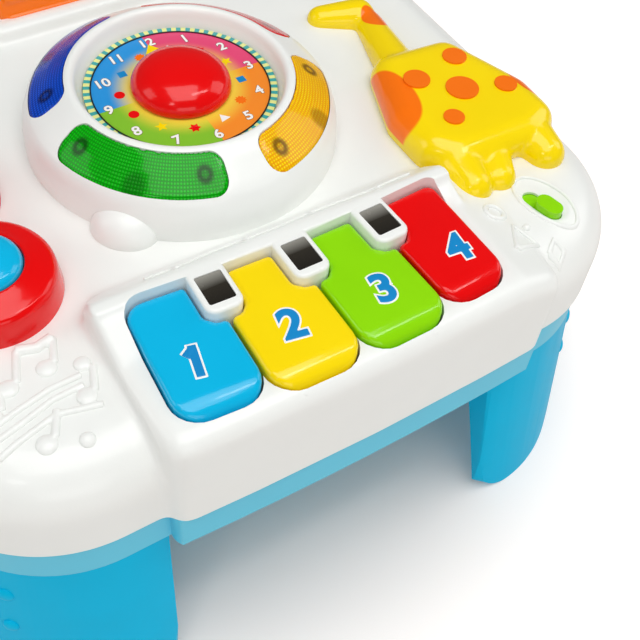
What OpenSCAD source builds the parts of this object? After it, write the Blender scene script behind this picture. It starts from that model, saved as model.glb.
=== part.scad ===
// Musical activity table: a lobed white top with a clock dome, four piano keys,
// push buttons, a giraffe, a slide switch and a roller, on a blue tray and four legs.
// Millimetres. Z = 0 is the floor, the clock's axis is x = y = 0, the player sits at -Y.

/* [Table] */
// Width of the white top
table_w = 342; // [320:1:380]
// Depth of the white top without its front and back blocks
table_d = 306; // [296:1:340]
// Height of the flat table top above the floor
table_h = 170; // [150:1:230]
// Plan radius of the table's corners
corner_r = 66; // [50:1:76]
// Rounding of the top's outer edge
shoulder_r = 24; // [10:1:26]
// Height of the white shell's outer wall
shell_h = 45; // [38:1:60]
// Height of the blue tray that shows below the white shell
tray_h = 21; // [16:1:30]
// How far the tray stands inside the shell's wall
tray_inset = 1.5; // [0.5:0.1:3]
// Wall thickness of the shell, the tray and the legs
wall = 2.6; // [2:0.1:3.4]
// Height of the tray's lip inside the shell
lip_h = 5; // [3:0.5:8]

/* [Keyboard block] */
// Distance of the block's left wall from the clock's axis
block_left = 87; // [84:1:92]
// Distance of the block's right wall from the clock's axis
block_right = 102.5; // [100:0.5:108]
// Distance of the block's front face from the clock's axis
block_front = 162; // [158:1:164]
// Height of the strip round the keys above the table top
block_rise = 8.5; // [6:0.5:10]
// Plan radius of the block's front corners
block_corner_r = 9; // [5:0.5:12]
// Rounding of the block's top edges
block_edge_r = 8; // [3:0.5:8]
// How far the block's front bows out
block_bow = 2.5; // [1:0.5:5]
// Height of the ridge behind the keys above the table top
ridge_rise = 16; // [14:0.5:20]
// Distance of the ridge's front face from the clock's axis
ridge_front = 94.5; // [93:0.5:97]
// Depth of the ridge
ridge_depth = 22; // [20:0.5:23]

/* [Keys] */
// Distance between neighbouring keys
key_pitch = 40; // [37:0.5:40]
// Gap between neighbouring keys
key_gap = 1.4; // [1:0.1:2]
// Turn of each key to the next
key_fan = 2.4; // [0:0.1:3]
// Distance of the key fronts from the clock's axis
key_front = 154; // [150:0.5:155]
// How far the middle keys stand out in front of the outer ones
key_bow = 2.5; // [0:0.5:3]
// Height of the key tops above the table top
key_rise = 12; // [11:0.5:13.5]
// Width of the first key
first_key_w = 36.5; // [34:0.5:38]
// Width of the last key
last_key_w = 34; // [32:0.5:37]
// Height of a key's skirt
key_h = 14; // [13:0.5:15]
// Plan radius of a key's front corners
key_corner_r = 11.5; // [6:0.5:13]
// Plan radius of the outer keys' back corners
key_back_r = 4.5; // [2:0.5:6]
// Rounding of a key's top edge
key_edge_r = 3; // [1.5:0.5:4]
// Wall thickness of a key
key_wall = 2.4; // [1.8:0.1:3]
// Gap between a key and the shell around it
key_clear = 0.9; // [0.8:0.1:1.6]
// Radius of the steel rod that the keys turn on
rod_r = 1.5; // [1.2:0.1:2]
// Radial play of a key on the rod
rod_play = 0.08; // [0.03:0.01:0.1]
// Distance of the rod from the clock's axis
rod_back = 84; // [83:0.5:85]
// Radius of a key's rubber pad
pad_r = 5; // [4:0.5:6]

/* [Dark keys] */
// Width of a raised dark key's frame
sharp_w = 16.6; // [15:0.2:18]
// Length of a raised dark key's frame in front of the ridge
sharp_l = 21.5; // [18:0.5:24]
// Width of the dark inlay
inlay_w = 11.3; // [9:0.1:12]
// Length of the dark inlay
inlay_l = 14.8; // [12:0.1:16]
// Thickness of the dark inlay
inlay_t = 1.2; // [1:0.1:2]
// Distance of the inlay's back edge in front of the ridge
inlay_set = 2.4; // [1.5:0.1:4]

/* [Clock dome] */
// Radius of the dome's foot
dome_r = 71.5; // [70.5:0.5:72]
// Height of the dome's rim above the table top
dome_rise = 32.5; // [30:0.5:38]
// Outer radius of the ring of lenses
lens_out_r = 67; // [64:0.5:67.5]
// Inner radius of the ring of lenses
lens_in_r = 51; // [49:0.5:54]
// Height of the lenses' outer edge above the table top
lens_out_rise = 20.6; // [18:0.2:22]
// Half of the angle that a lens spans
lens_half_angle = 36; // [30:1:38]
// Rounding of a lens's corners
lens_corner_r = 6; // [3:0.5:7]
// Thickness of a lens and of the dome's wall
lens_t = 2.4; // [2:0.1:3]
// Gap round a lens in its window
lens_gap = 0.2; // [0.1:0.05:0.4]
// Radius of the clock face
face_r = 43.2; // [40:0.2:44]
// Height of the clock face above the table top
face_rise = 24; // [22:0.5:26]
// Thickness of the clock face
face_t = 1.6; // [1.2:0.1:2.4]
// Inner radius of the black line round the numbers
line_r = 39.6; // [36:0.2:39.8]
// Radius of the red knob
knob_r = 22.5; // [20:0.5:27]
// Height of the red knob
knob_h = 13; // [10:0.5:18]
// Radius of the knob's spindle
spindle_r = 4; // [3:0.5:5]
// Radial play of the spindle in the clock face
spindle_play = 0.08; // [0.03:0.01:0.1]
// Length of the yellow pointer from the clock's axis
pointer_l = 33; // [30:0.5:36]

/* [Push buttons] */
// Distance of the front button from the table's left side
front_button_side = 58; // [55:0.5:61]
// Distance of the front button before the clock's axis
front_button_y = 51.5; // [50:0.5:55]
// Distance of the back button from the table's left side
back_button_side = 53.5; // [53:0.5:56]
// Distance of the back button behind the clock's axis
back_button_y = 5; // [3:0.5:8]
// Radius of the red housing round the front button
front_housing_r = 29.5; // [28:0.5:31]
// Radius of the red housing round the back button
back_housing_r = 29.5; // [28:0.5:30]
// Height of the red housing above the table top
housing_rise = 17; // [14:0.5:20]
// Radius of a round button
button_r = 15.5; // [12:0.5:17]
// Height of a button above its housing
button_proud = 5; // [4.5:0.5:7]
// Travel of a button
button_travel = 3; // [2:0.5:3.5]
// Gap round a button
button_gap = 0.5; // [0.3:0.1:0.8]

/* [Giraffe] */
// Distance of the giraffe's middle from the table's right side
giraffe_side = 55; // [53:0.5:57]
// Distance of the giraffe's middle from the table's front
giraffe_front = 91; // [89:1:95]
// Height of the giraffe's back above the table top
giraffe_rise = 17; // [14:0.5:20]
// Radius of the giraffe's feet
foot_r = 8.5; // [7:0.5:9]

/* [Slide switch] */
// Distance of the switch from the table's right side
switch_side = 50.5; // [49:0.5:53]
// Distance of the switch from the table's front
switch_front = 34; // [32:0.5:36]
// Turn of the switch's track from the X axis
switch_turn = -78; // [-90:1:-66]
// Length of the slot in the table top
slot_l = 21; // [19:0.5:24]
// Width of the slot in the table top
slot_w = 9; // [7:0.5:10]
// Length of the switch's knob
slider_l = 13.5; // [11:0.5:15]
// Height of the switch's knob above the table top
slider_rise = 3.2; // [2:0.2:5]
// Gap between the switch's knob and its slot
slider_gap = 0.35; // [0.2:0.05:0.6]

/* [Roller] */
// Distance of the roller's axle behind the clock's axis
roller_back = 118; // [114:1:119]
// Length of the roller
roller_l = 92; // [70:1:110]
// Radius of the roller's drum
roller_r = 14; // [12:0.5:15]
// Height of a rib on the drum
rib_h = 2; // [1:0.25:2.5]
// Number of ribs round the drum
rib_count = 8; // [5:1:12]
// Height of the roller's axle above the table top
axle_rise = 4; // [2:0.5:7]
// Radius of the roller's axle
axle_r = 2.5; // [2:0.5:3]
// Radial play of the roller on its axle
axle_play = 0.08; // [0.03:0.01:0.1]
// Gap between the roller and its trough
roller_gap = 1.6; // [1:0.1:2.5]
// Height of the frame round the roller above the table top
surround_rise = 7; // [5:0.5:9]

/* [Legs] */
// Radius of a leg's outer face under the tray, from the corner's centre
leg_top_r = 64; // [60:0.5:64]
// Radius of a leg's outer face at the floor
leg_foot_r = 77; // [70:0.5:82]
// Half of the angle that a leg spans under the tray
leg_half_angle = 63; // [50:1:70]
// Turn of a leg's side faces from its middle plane
leg_side_turn = 38; // [20:1:60]
// Lean of a leg's side faces
leg_side_lean = 2.5; // [0:0.5:6]
// Width of a leg at the floor
leg_w = 130; // [110:1:136]
// Rounding of a leg's lower corners
leg_corner_r = 11; // [6:1:18]
// Thickness of a leg under the tray
leg_top_t = 16; // [13:0.5:18]
// Thickness of a leg at the floor
leg_foot_t = 4; // [3.5:0.5:8]
// Radius of the pegs that hold a leg in the tray
peg_r = 5; // [4:0.5:5.5]
// Length of the pegs above the leg
peg_l = 14; // [10:1:16]
// Gap between a peg and its socket
peg_gap = 0.15; // [0.1:0.05:0.3]

/* [Inside] */
// Radius of a battery
battery_r = 7.1; // [5:0.05:7.2]
// Length of a battery
battery_l = 50.5; // [44:0.5:51]
// Number of batteries
battery_count = 3; // [2:1:3]
// Radius of the loudspeaker
speaker_r = 25; // [20:1:28]
// Height of the loudspeaker
speaker_h = 17; // [14:1:20]
// Thickness of the circuit boards
board_t = 1.6; // [1:0.1:2]
// Radius of the screws' shanks
screw_r = 1.4; // [1.2:0.1:1.6]
// Radius of the screws' heads
screw_head_r = 3; // [2.6:0.1:3.2]

/* [Hidden] */

$fn = 64;
// Overlap that lets a cut pass through a face
cut = 1;
// Rest gap between pieces that move apart
rest_gap = 0.3;

// Heights above the floor
top_z = table_h;
rim_z = top_z - shell_h;
tray_z = rim_z - tray_h;
slab_z = top_z - wall;
floor_z = tray_z + wall;

// Centres of the table's corners
corner_x = table_w / 2 - corner_r;
corner_y = table_d / 2 - corner_r;
// Fillet inside the shoulder
inner_shoulder_r = max(shoulder_r - wall, 1);

// Keys turn about a far point behind the table
fan_r = key_pitch / tan(max(key_fan, 0.01));
fan_y = fan_r - (key_front + ridge_front) / 2;
key_count = 4;
function key_turn(i) = (i - (key_count - 1) / 2) * key_fan;
function sharp_turn(i) = (i - (key_count - 2) / 2) * key_fan;
key_back = ridge_front + key_clear;
key_z = top_z + key_rise;
notch_back = ridge_front + sharp_l + key_clear;
rod_z = top_z + 4;
hub_r = rod_r + 2.5;
arm_w = 5;
arm_spread = 7;
ridge_wall_z = top_z + ridge_rise - 6;
window_left = key_pitch + first_key_w + key_clear;
window_right = key_pitch + last_key_w + key_clear;
chassis_t = 3;
chassis_z = top_z - 7 - chassis_t;
board_z = chassis_z + chassis_t;
pad_back = 128;
pad_gap = 0.2;
stem_z = board_z + board_t + 6.5;

// Dome
lens_rise_in = dome_rise - 0.9;
rim_out_r = lens_in_r - 2;
rim_in_r = face_r + 2.6;
ledge_r = face_r - 5;
lens_angles = [225, 315, 135, 45];
light_in_r = lens_in_r + 1.2;
light_out_r = lens_out_r - 1.6;
light_floor = 8;
light_wall = 1.2;
lens_slope = (lens_rise_in - lens_out_rise) / (lens_out_r - lens_in_r);
function lens_rise(r) = lens_out_rise + (lens_out_r - r) * lens_slope;
bush_r = spindle_r + 2.6;
bush_l = 8;
knob_gap = 0.6;
knob_z = top_z + face_rise + knob_gap;

// Push buttons, from front to back
button_at = [[front_button_side - table_w / 2, -front_button_y], [back_button_side - table_w / 2, back_button_y]];
housing_rs = [front_housing_r, back_housing_r];
button_top = housing_rise + button_proud;
flange_r = button_r + 2.4;
flange_t = 2;
// How far a button's flange lies below the housing's flat underside
flange_drop = 1.3;
housing_wall = 2.4;
button_pad_r = 7;

// Giraffe and switch, from the table's edges
giraffe_x = table_w / 2 - giraffe_side;
giraffe_y = table_d / 2 - giraffe_front;
switch_x = table_w / 2 - switch_side;
switch_y = table_d / 2 - switch_front;

// Roller
surround_in_l = roller_l + 2 * roller_gap;
swing_r = roller_r + rib_h;
trough_r = swing_r + roller_gap;
axle_z = top_z + axle_rise;
surround_d = 2 * trough_r + 2 * 7;
surround_l = surround_in_l + 2 * 9;

// Battery bay, left of the clock's axis
bay_x = -58;
bay_y = 34;
bay_play = 0.5;
contact_t = 1;
battery_pitch = 2 * battery_r + 0.8;
bay_l = battery_l + 2 * contact_t + 2 * bay_play;
bay_w = battery_count * battery_pitch + 2 * bay_play;
bay_h = 2 * battery_r + 1;
door_rim = 2.5;
door_gap = 0.25;

speaker_at = [60, 34];
board_at = [0, -46];
board_size = [96, 52];
board_post_h = 6;

// Screws that hold the shell on the tray
boss_r = 4.2;
boss_gap = 0.2;
boss_foot_z = floor_z + 6;
shell_screw_at = [[-141, 0], [141, 0], [-62, 134], [62, 134], [-62, -62], [62, -62]];
rear_boss_y = -78.4;
chassis_screw_at = [[-82.5, -122], [83, -122], [arm_x(0), rear_boss_y], [arm_x(3), rear_boss_y]];
board_screw_at = [[-1, -1], [1, -1], [-1, 1], [1, 1]];

// Colours
white = [0.97, 0.96, 0.94];
sky = [0.0, 0.74, 0.92];
tray_blue = [0.27, 0.70, 0.85];
leg_blue = [0.08, 0.72, 0.88];
yellow = [1.0, 0.89, 0.0];
lime = [0.57, 0.88, 0.0];
red = [0.94, 0.0, 0.0];
orange = [1.0, 0.47, 0.0];
steel = [0.75, 0.76, 0.78];
board_green = [0.1, 0.45, 0.2];
rubber_grey = [0.6, 0.6, 0.6];

// A rectangle between two corners with rounded corners
module round_rect(low, high, r) {
    translate([low[0] + r, low[1]]) square([high[0] - low[0] - 2 * r, high[1] - low[1]]);
    translate([low[0], low[1] + r]) square([high[0] - low[0], high[1] - low[1] - 2 * r]);
    for (x = [low[0] + r, high[0] - r], y = [low[1] + r, high[1] - r]) translate([x, y]) circle(r);
}

// A slot with round ends along X
module stadium(l, w) {
    square([l - w, w], center = true);
    for (s = [-1, 1]) translate([s * (l - w) / 2, 0]) circle(d = w);
}

// A straight tube
module tube(r_out, r_in, h) {
    difference() {
        cylinder(r = r_out, h = h);
        translate([0, 0, -cut]) cylinder(r = r_in, h = h + 2 * cut);
    }
}

// Plan of the block, drawn in by a wall
module block_plan(inset = 0) {
    bow_r = pow(block_left + block_right, 2) / (8 * block_bow);
    mid = (block_right - block_left) / 2;
    intersection() {
        round_rect([-block_left + inset, -block_front + inset],
            [block_right - inset, -ridge_front + ridge_depth], block_corner_r - min(inset, 4));
        translate([mid, -block_front + bow_r + inset]) circle(bow_r, $fn = 720);
    }
}

// Plan of the table's top, drawn in by a wall
module table_plan(inset = 0) {
    round_rect([-table_w / 2 + inset, -table_d / 2 + inset],
        [table_w / 2 - inset, table_d / 2 - inset], corner_r - inset);
}

// The top's pillow: a rounded plate with a rounded shoulder
module pillow(inset, low, high, edge_r) {
    r = corner_r - inset;
    hull() for (x = [-corner_x, corner_x], y = [-corner_y, corner_y])
        translate([x, y, low]) rotate_extrude($fn = 64) {
            square([r, high - low - edge_r]);
            square([r - edge_r, high - low]);
            translate([r - edge_r, high - low - edge_r]) intersection() {
                circle(edge_r, $fn = 32);
                square(edge_r);
            }
        }
}

// The low front part of the block with its rounded front edge
module block_solid(inset, low) {
    high = top_z + block_rise - inset;
    er = block_edge_r - min(inset, block_edge_r - 1);
    front = -block_front + inset;
    back = -ridge_front + 5;
    slope = atan(block_rise / (block_right - window_right - 3));
    difference() {
        intersection() {
            translate([-block_left + inset, 0, 0]) rotate([90, 0, 90])
                linear_extrude(block_left + block_right - 2 * inset) {
                    translate([front, low]) square([back - front, high - er - low]);
                    translate([front + er, low]) square([back - front - er, high - low]);
                    translate([front + er, high - er]) circle(er);
                }
            translate([0, 0, low - cut]) linear_extrude(high - low + 2 * cut) block_plan(inset);
        }
        translate([window_right + 3, -block_front - cut, high]) rotate([0, slope, 0])
            cube([block_right, block_front, 2 * block_rise]);
    }
}

// The ridge behind the keys: a flat top and a slope down to the table
module ridge_solid(inset, low) {
    front = -ridge_front + inset;
    high = top_z + ridge_rise - inset;
    back = -ridge_front + ridge_depth - inset;
    left = -window_left - 8.5 + inset;
    right = window_right + 8.5 - inset;
    er = 4 - min(inset, 3);
    intersection() {
        translate([left, 0, 0]) rotate([90, 0, 90]) linear_extrude(right - left) {
            polygon([[front, low], [front, high - er], [front + er, high],
                [front + ridge_depth * 0.45, high], [back, top_z + 1 - inset], [back, low]]);
            translate([front + er, high - er]) circle(er);
        }
        translate([0, 0, low - cut]) linear_extrude(high - low + 2 * cut) {
            round_rect([left, front], [right, back], 9 - inset);
            translate([left, front]) square([right - left, 9]);
        }
    }
}

// Places children at a key's or a dark key's place in the fan
module fan(turn) {
    translate([0, fan_y, 0]) rotate([0, 0, turn]) translate([0, -fan_y, 0]) children();
}

// Outline of the white frame round a dark key
module sharp_outline(grow = 0) {
    w = sharp_w / 2 + grow;
    front = -ridge_front - sharp_l - grow;
    chamfer = 4;
    polygon([[-w, -ridge_front + 1], [-w, front + chamfer], [-w + chamfer, front],
        [w - chamfer, front], [w, front + chamfer], [w, -ridge_front + 1]]);
}

// Outline of a key without its notches, in its own place, before it is turned in the fan
module key_slab(i, grow = 0) {
    r = key_corner_r + grow;
    back_r = key_back_r + grow;
    front = -key_front - grow - (i > 0 && i < key_count - 1 ? key_bow : 0);
    back = -key_back + grow;
    y = front + r;
    y2 = back - back_r;
    for (s = [-1, 1]) {
        lean = key_lean(i, s);
        x = key_side(i, s, y) + (grow - r) / cos(lean);
        x2 = key_side(i, s, y2) + (grow - back_r) / cos(lean);
        polygon([[-s, back], [-s, front], [s * x, front], [s * x, y], [s * (x + r * cos(lean)), y + r * sin(lean)],
            [s * (x2 + back_r * cos(lean)), y2 + back_r * sin(lean)], [s * x2, y2], [s * x2, back]]);
        translate([s * x, y]) circle(r);
        translate([s * x2, y2]) circle(back_r);
    }
}

// The opening that the keys stand in
module key_window() {
    for (i = [0:key_count - 1]) fan(key_turn(i)) key_slab(i, key_clear);
}

module button_place(i) {
    translate([button_at[i][0], button_at[i][1], top_z]) children();
}

module switch_place() {
    translate([switch_x, -switch_y, top_z]) rotate([0, 0, switch_turn]) children();
}

module roller_place() {
    translate([0, roller_back, axle_z]) children();
}

module top_shell() {
    color(white) difference() {
        union() {
            difference() {
                union() {
                    pillow(0, rim_z, top_z, shoulder_r);
                    block_solid(0, rim_z);
                    ridge_solid(0, top_z - 6);
                    translate([-surround_l / 2, roller_back - surround_d / 2, top_z - 1])
                        linear_extrude(surround_rise + 1)
                            round_rect([0, 0], [surround_l, surround_d], 9);
                }
                pillow(wall, rim_z - cut, slab_z, inner_shoulder_r);
                block_solid(wall, rim_z - cut);
                difference() {
                    ridge_solid(wall, top_z - 10);
                    translate([-table_w / 2, -block_front, top_z - 11])
                        cube([table_w, block_front - key_back, 2]);
                }
                linear_extrude(2 * top_z) key_window();
                translate([5 - window_left, -ridge_front - cut, top_z - 10])
                    cube([window_left + window_right - 10, wall + 2 * cut, ridge_wall_z - top_z + 10]);
            }
            for (i = [0:key_count - 2]) fan(sharp_turn(i)) translate([0, 0, top_z + 3])
                linear_extrude(ridge_rise - 3) sharp_outline();
            for (p = shell_screw_at) translate([p[0], p[1], boss_foot_z])
                cylinder(r = boss_r, h = slab_z - boss_foot_z + 1);
            for (p = chassis_screw_at) translate([p[0], p[1], board_z])
                cylinder(r = 3, h = (p[1] == rear_boss_y ? 4 : 4.5) + top_z - board_z);
            roller_place() rotate([0, 90, 0])
                cylinder(r = trough_r + wall, h = surround_in_l + 2 * wall, center = true);
        }
        for (i = [0:key_count - 2]) fan(sharp_turn(i))
            translate([-inlay_w / 2 - 0.2, -ridge_front - inlay_set - inlay_l - 0.2, top_z + ridge_rise - inlay_t])
                cube([inlay_w + 0.4, inlay_l + 0.4, 5]);
        for (p = shell_screw_at) translate([p[0], p[1], boss_foot_z - cut])
            cylinder(r = screw_r, h = 14);
        for (p = chassis_screw_at) translate([p[0], p[1], board_z - cut]) cylinder(r = screw_r, h = 7);
        translate([0, 0, slab_z - cut]) cylinder(r = lens_out_r - 7, h = wall + 2 * cut);
        switch_place() {
            translate([0, 0, -wall - cut]) linear_extrude(wall + 2 * cut) stadium(slot_l, slot_w);
            translate([0, 0, -0.8]) linear_extrude(5) stadium(slot_l + 9, slot_w + 8);
        }
        roller_place() rotate([0, 90, 0])
            cylinder(r = trough_r, h = surround_in_l, center = true);
        roller_place() translate([-surround_in_l / 2, -trough_r, 0])
            cube([surround_in_l, 2 * trough_r, 40]);
        roller_place() rotate([0, 90, 0]) cylinder(r = axle_r + 0.02, h = surround_in_l + 10, center = true);
        translate([-table_w / 2, 0, top_z + surround_rise]) cube([table_w, table_d, 60]);
    }
}

// Plan of the tray: the table and the front block, drawn in by a wall
module tray_plan(inset) {
    table_plan(inset);
    block_plan(inset);
}

module leg_place(sx, sy) {
    translate([sx * corner_x, sy * corner_y, 0]) rotate([0, 0, atan2(sy, sx)]) children();
}

// Pegs of a leg, on the middle of its top face
module leg_pegs(r, low, high) {
    for (s = [-1, 1]) rotate([0, 0, s * 27]) translate([leg_top_r - leg_top_t / 2, 0, low])
        cylinder(r = r, h = high - low);
}

module base_tray() {
    lip_z = rim_z + lip_h;
    bay_top = tray_z + bay_h + wall + door_gap + wall;
    color(tray_blue) difference() {
        union() {
            translate([0, 0, tray_z]) linear_extrude(rim_z - tray_z) tray_plan(tray_inset);
            translate([0, 0, rim_z - cut]) linear_extrude(lip_h + cut) tray_plan(wall + 0.3);
        }
        difference() {
            translate([0, 0, floor_z]) linear_extrude(lip_z) tray_plan(wall + 0.3 + 2);
            translate([bay_x - bay_l / 2 - wall, bay_y - bay_w / 2 - wall, 0])
                cube([bay_l + 2 * wall, bay_w + 2 * wall, bay_top]);
            for (sx = [-1, 1], sy = [-1, 1]) leg_place(sx, sy)
                leg_pegs(peg_r + peg_gap + 2, 0, tray_z + peg_l + 3);
            for (p = shell_screw_at) translate(p) cylinder(r = boss_r + 1, h = boss_foot_z - boss_gap);
            for (s = board_screw_at)
                translate([board_at[0] + s[0] * (board_size[0] / 2 - 5),
                    board_at[1] + s[1] * (board_size[1] / 2 - 5), 0])
                    cylinder(r = 3, h = floor_z + board_post_h);
            translate(speaker_at) cylinder(r = speaker_r + 2, h = floor_z + 4);
        }
        // Battery bay and the step that the door lies in
        translate([bay_x - bay_l / 2, bay_y - bay_w / 2, tray_z - cut]) cube([bay_l, bay_w, bay_top - wall - tray_z + cut]);
        translate([bay_x, bay_y, tray_z - cut]) linear_extrude(wall + door_gap + cut)
            square([bay_l + 2 * door_rim, bay_w + 2 * door_rim], center = true);
        translate([bay_x + bay_l / 2 + door_rim - cut, bay_y - 7, tray_z - cut]) cube([12 + cut, 14, wall + cut - 1]);
        translate([bay_x + bay_l / 2 + door_rim + 6, bay_y, tray_z - cut]) cylinder(r = screw_r, h = wall + 2 * cut);
        for (sx = [-1, 1], sy = [-1, 1]) leg_place(sx, sy)
            leg_pegs(peg_r + peg_gap, tray_z - cut, tray_z + peg_l + 0.6);
        for (p = shell_screw_at) translate([p[0], p[1], tray_z - cut]) {
            cylinder(r = screw_r + 0.2, h = 30);
            cylinder(r = screw_head_r + 0.6, h = 3 + cut);
        }
        for (s = board_screw_at)
            translate([board_at[0] + s[0] * (board_size[0] / 2 - 5),
                board_at[1] + s[1] * (board_size[1] / 2 - 5), floor_z + 1]) cylinder(r = 1, h = 20);
        translate([speaker_at[0], speaker_at[1], floor_z]) cylinder(r = speaker_r + 0.2, h = 20);
        for (x = [-2:2]) translate([speaker_at[0] + 8 * x, speaker_at[1], tray_z - cut])
            linear_extrude(wall + 2 * cut) square([3, 2 * sqrt(pow(speaker_r - 5, 2) - pow(8 * x, 2))], center = true);
    }
}

// Space beside a leg's side face; a positive inset moves it into the leg
module beside_leg(s, inset) {
    reach = 2 * leg_foot_r;
    translate([leg_top_r * cos(leg_half_angle), s * leg_top_r * sin(leg_half_angle), tray_z])
        rotate([0, 0, s * leg_side_turn]) rotate([s * leg_side_lean, 0, 0])
        translate([-reach, s > 0 ? -inset : inset - reach, -2 * tray_z]) cube([2 * reach, reach, 3 * tray_z]);
}

// A leg: a curved panel under a corner that leans out and thins towards the floor
module leg(sx, sy) {
    shrink = (leg_top_t - leg_foot_t) / tray_z;
    pocket_low = tray_z * 0.35;
    function outer(z) = leg_foot_r + (leg_top_r - leg_foot_r) * z / tray_z;
    function inner(z) = outer(z) - leg_foot_t - shrink * z;
    color(leg_blue) leg_place(sx, sy) difference() {
        union() {
            intersection() {
                difference() {
                    rotate([0, 0, -80]) rotate_extrude(angle = 160, $fn = 128)
                        polygon([[inner(0), 0], [outer(0), 0], [outer(tray_z), tray_z], [inner(tray_z), tray_z]]);
                    for (s = [-1, 1]) beside_leg(s, 0);
                }
                rotate([90, 0, 90]) linear_extrude(2 * leg_foot_r) {
                    translate([-leg_w / 2, leg_corner_r]) square([leg_w, 2 * tray_z]);
                    translate([leg_corner_r - leg_w / 2, 0]) square([leg_w - 2 * leg_corner_r, tray_z]);
                    for (s = [-1, 1]) translate([s * (leg_w / 2 - leg_corner_r), leg_corner_r]) circle(leg_corner_r);
                }
            }
            leg_pegs(peg_r, tray_z - cut, tray_z + peg_l);
        }
        difference() {
            rotate([0, 0, -80]) rotate_extrude(angle = 160, $fn = 128)
                polygon([[inner(pocket_low) + wall, pocket_low], [outer(pocket_low) - wall, pocket_low],
                    [outer(tray_z + cut) - wall, tray_z + cut], [inner(tray_z + cut) + wall, tray_z + cut]]);
            for (s = [-1, 1]) beside_leg(s, wall);
            leg_pegs(peg_r, 0, 2 * tray_z);
        }
    }
}

// Points on an arc about a centre, leaving out some at either end
function arc_points(c, r, from, to, steps, first = 0, last = 0) = [for (k = [first:steps - last])
    c + r * [cos(from + (to - from) * k / steps), sin(from + (to - from) * k / steps)]];

// Plan of a lens with rounded corners, drawn out by a gap
module lens_plan(grow = 0) {
    r = lens_corner_r + grow;
    low = lens_in_r - grow;
    high = lens_out_r + grow;
    half = lens_half_angle + grow / (low + high) * 114.6;
    low_turn = half - asin(r / (low + r));
    high_turn = half - asin(r / (high - r));
    low_c = (low + r) * [cos(low_turn), sin(low_turn)];
    high_c = (high - r) * [cos(high_turn), sin(high_turn)];
    polygon(concat(
        arc_points([0, 0], high, -high_turn, high_turn, 22),
        arc_points(high_c, r, high_turn, half + 90, 6, 1),
        arc_points(low_c, r, half + 90, low_turn + 180, 6, 0, 1),
        arc_points([0, 0], low, low_turn, -low_turn, 16),
        arc_points([low_c.x, -low_c.y], r, -low_turn - 180, -half - 90, 6, 1),
        arc_points([high_c.x, -high_c.y], r, -half - 90, -high_turn, 6, 0, 1)));
}

module clock_dome() {
    drop = lens_t * 1.25;
    color(white) translate([0, 0, top_z]) difference() {
        union() {
            rotate_extrude($fn = 160) polygon([[dome_r, 0], [dome_r, 6], [dome_r - 0.5, 12],
                [dome_r - 1.6, 16], [dome_r - 3, 19], [lens_out_r, lens_out_rise], [lens_in_r, lens_rise_in],
                [rim_out_r, dome_rise], [rim_out_r - 1.4, dome_rise - 0.3], [rim_in_r + 0.4, dome_rise - 1.6],
                [rim_in_r, dome_rise - 3], [face_r + 0.3, face_rise - 0.4], [face_r + 0.2, face_rise - face_t],
                [ledge_r, face_rise - face_t], [ledge_r, face_rise - face_t - lens_t],
                [rim_in_r + lens_t, face_rise - face_t - lens_t], [rim_out_r, lens_rise_in - drop - 0.5],
                [lens_in_r, lens_rise_in - drop], [lens_out_r - 0.6, lens_out_rise - drop],
                [dome_r - lens_t, 12], [dome_r - lens_t, 0]]);
            // A round foot on the dome's front left
            rotate([0, 0, -141]) translate([dome_r + 3, 0, -4]) difference() {
                rotate_extrude($fn = 60) polygon(concat([[0, 4]],
                    arc_points([0, 0], 14.5, asin(4 / 14.5), 84, 12), [[0, 14.5 * sin(84)]]));
                translate([-23 - lens_t * 2 / 3, -20, -1]) cube([20, 40, 40]);
            }
        }
        for (a = lens_angles) rotate([0, 0, a]) translate([0, 0, 10]) linear_extrude(dome_rise) lens_plan(lens_gap);
    }
}

module lens(i, tint) {
    drop = lens_t * 1.25;
    crown = 0.7;
    mid = (lens_out_r + lens_in_r) / 2;
    color(tint) translate([0, 0, top_z]) rotate([0, 0, lens_angles[i]]) intersection() {
        rotate([0, 0, -45]) rotate_extrude(angle = 90, $fn = 160)
            polygon([[lens_in_r - 2, lens_rise(lens_in_r - 2) - drop], [lens_out_r + 2, lens_rise(lens_out_r + 2) - drop],
                [lens_out_r + 2, lens_rise(lens_out_r + 2)], [lens_out_r - 3, lens_rise(lens_out_r - 3) + crown * 0.6],
                [mid, lens_rise(mid) + crown], [lens_in_r + 3, lens_rise(lens_in_r + 3) + crown * 0.6],
                [lens_in_r - 2, lens_rise(lens_in_r - 2)]]);
        linear_extrude(2 * dome_rise) lens_plan(0);
    }
}

module lens_green() { lens(0, [0.0, 0.67, 0.05, 0.7]); }
module lens_amber() { lens(1, [1.0, 0.72, 0.0, 0.7]); }
module lens_blue() { lens(2, [0.0, 0.3, 0.75, 0.7]); }
module lens_red() { lens(3, [0.9, 0.05, 0.05, 0.7]); }

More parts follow.
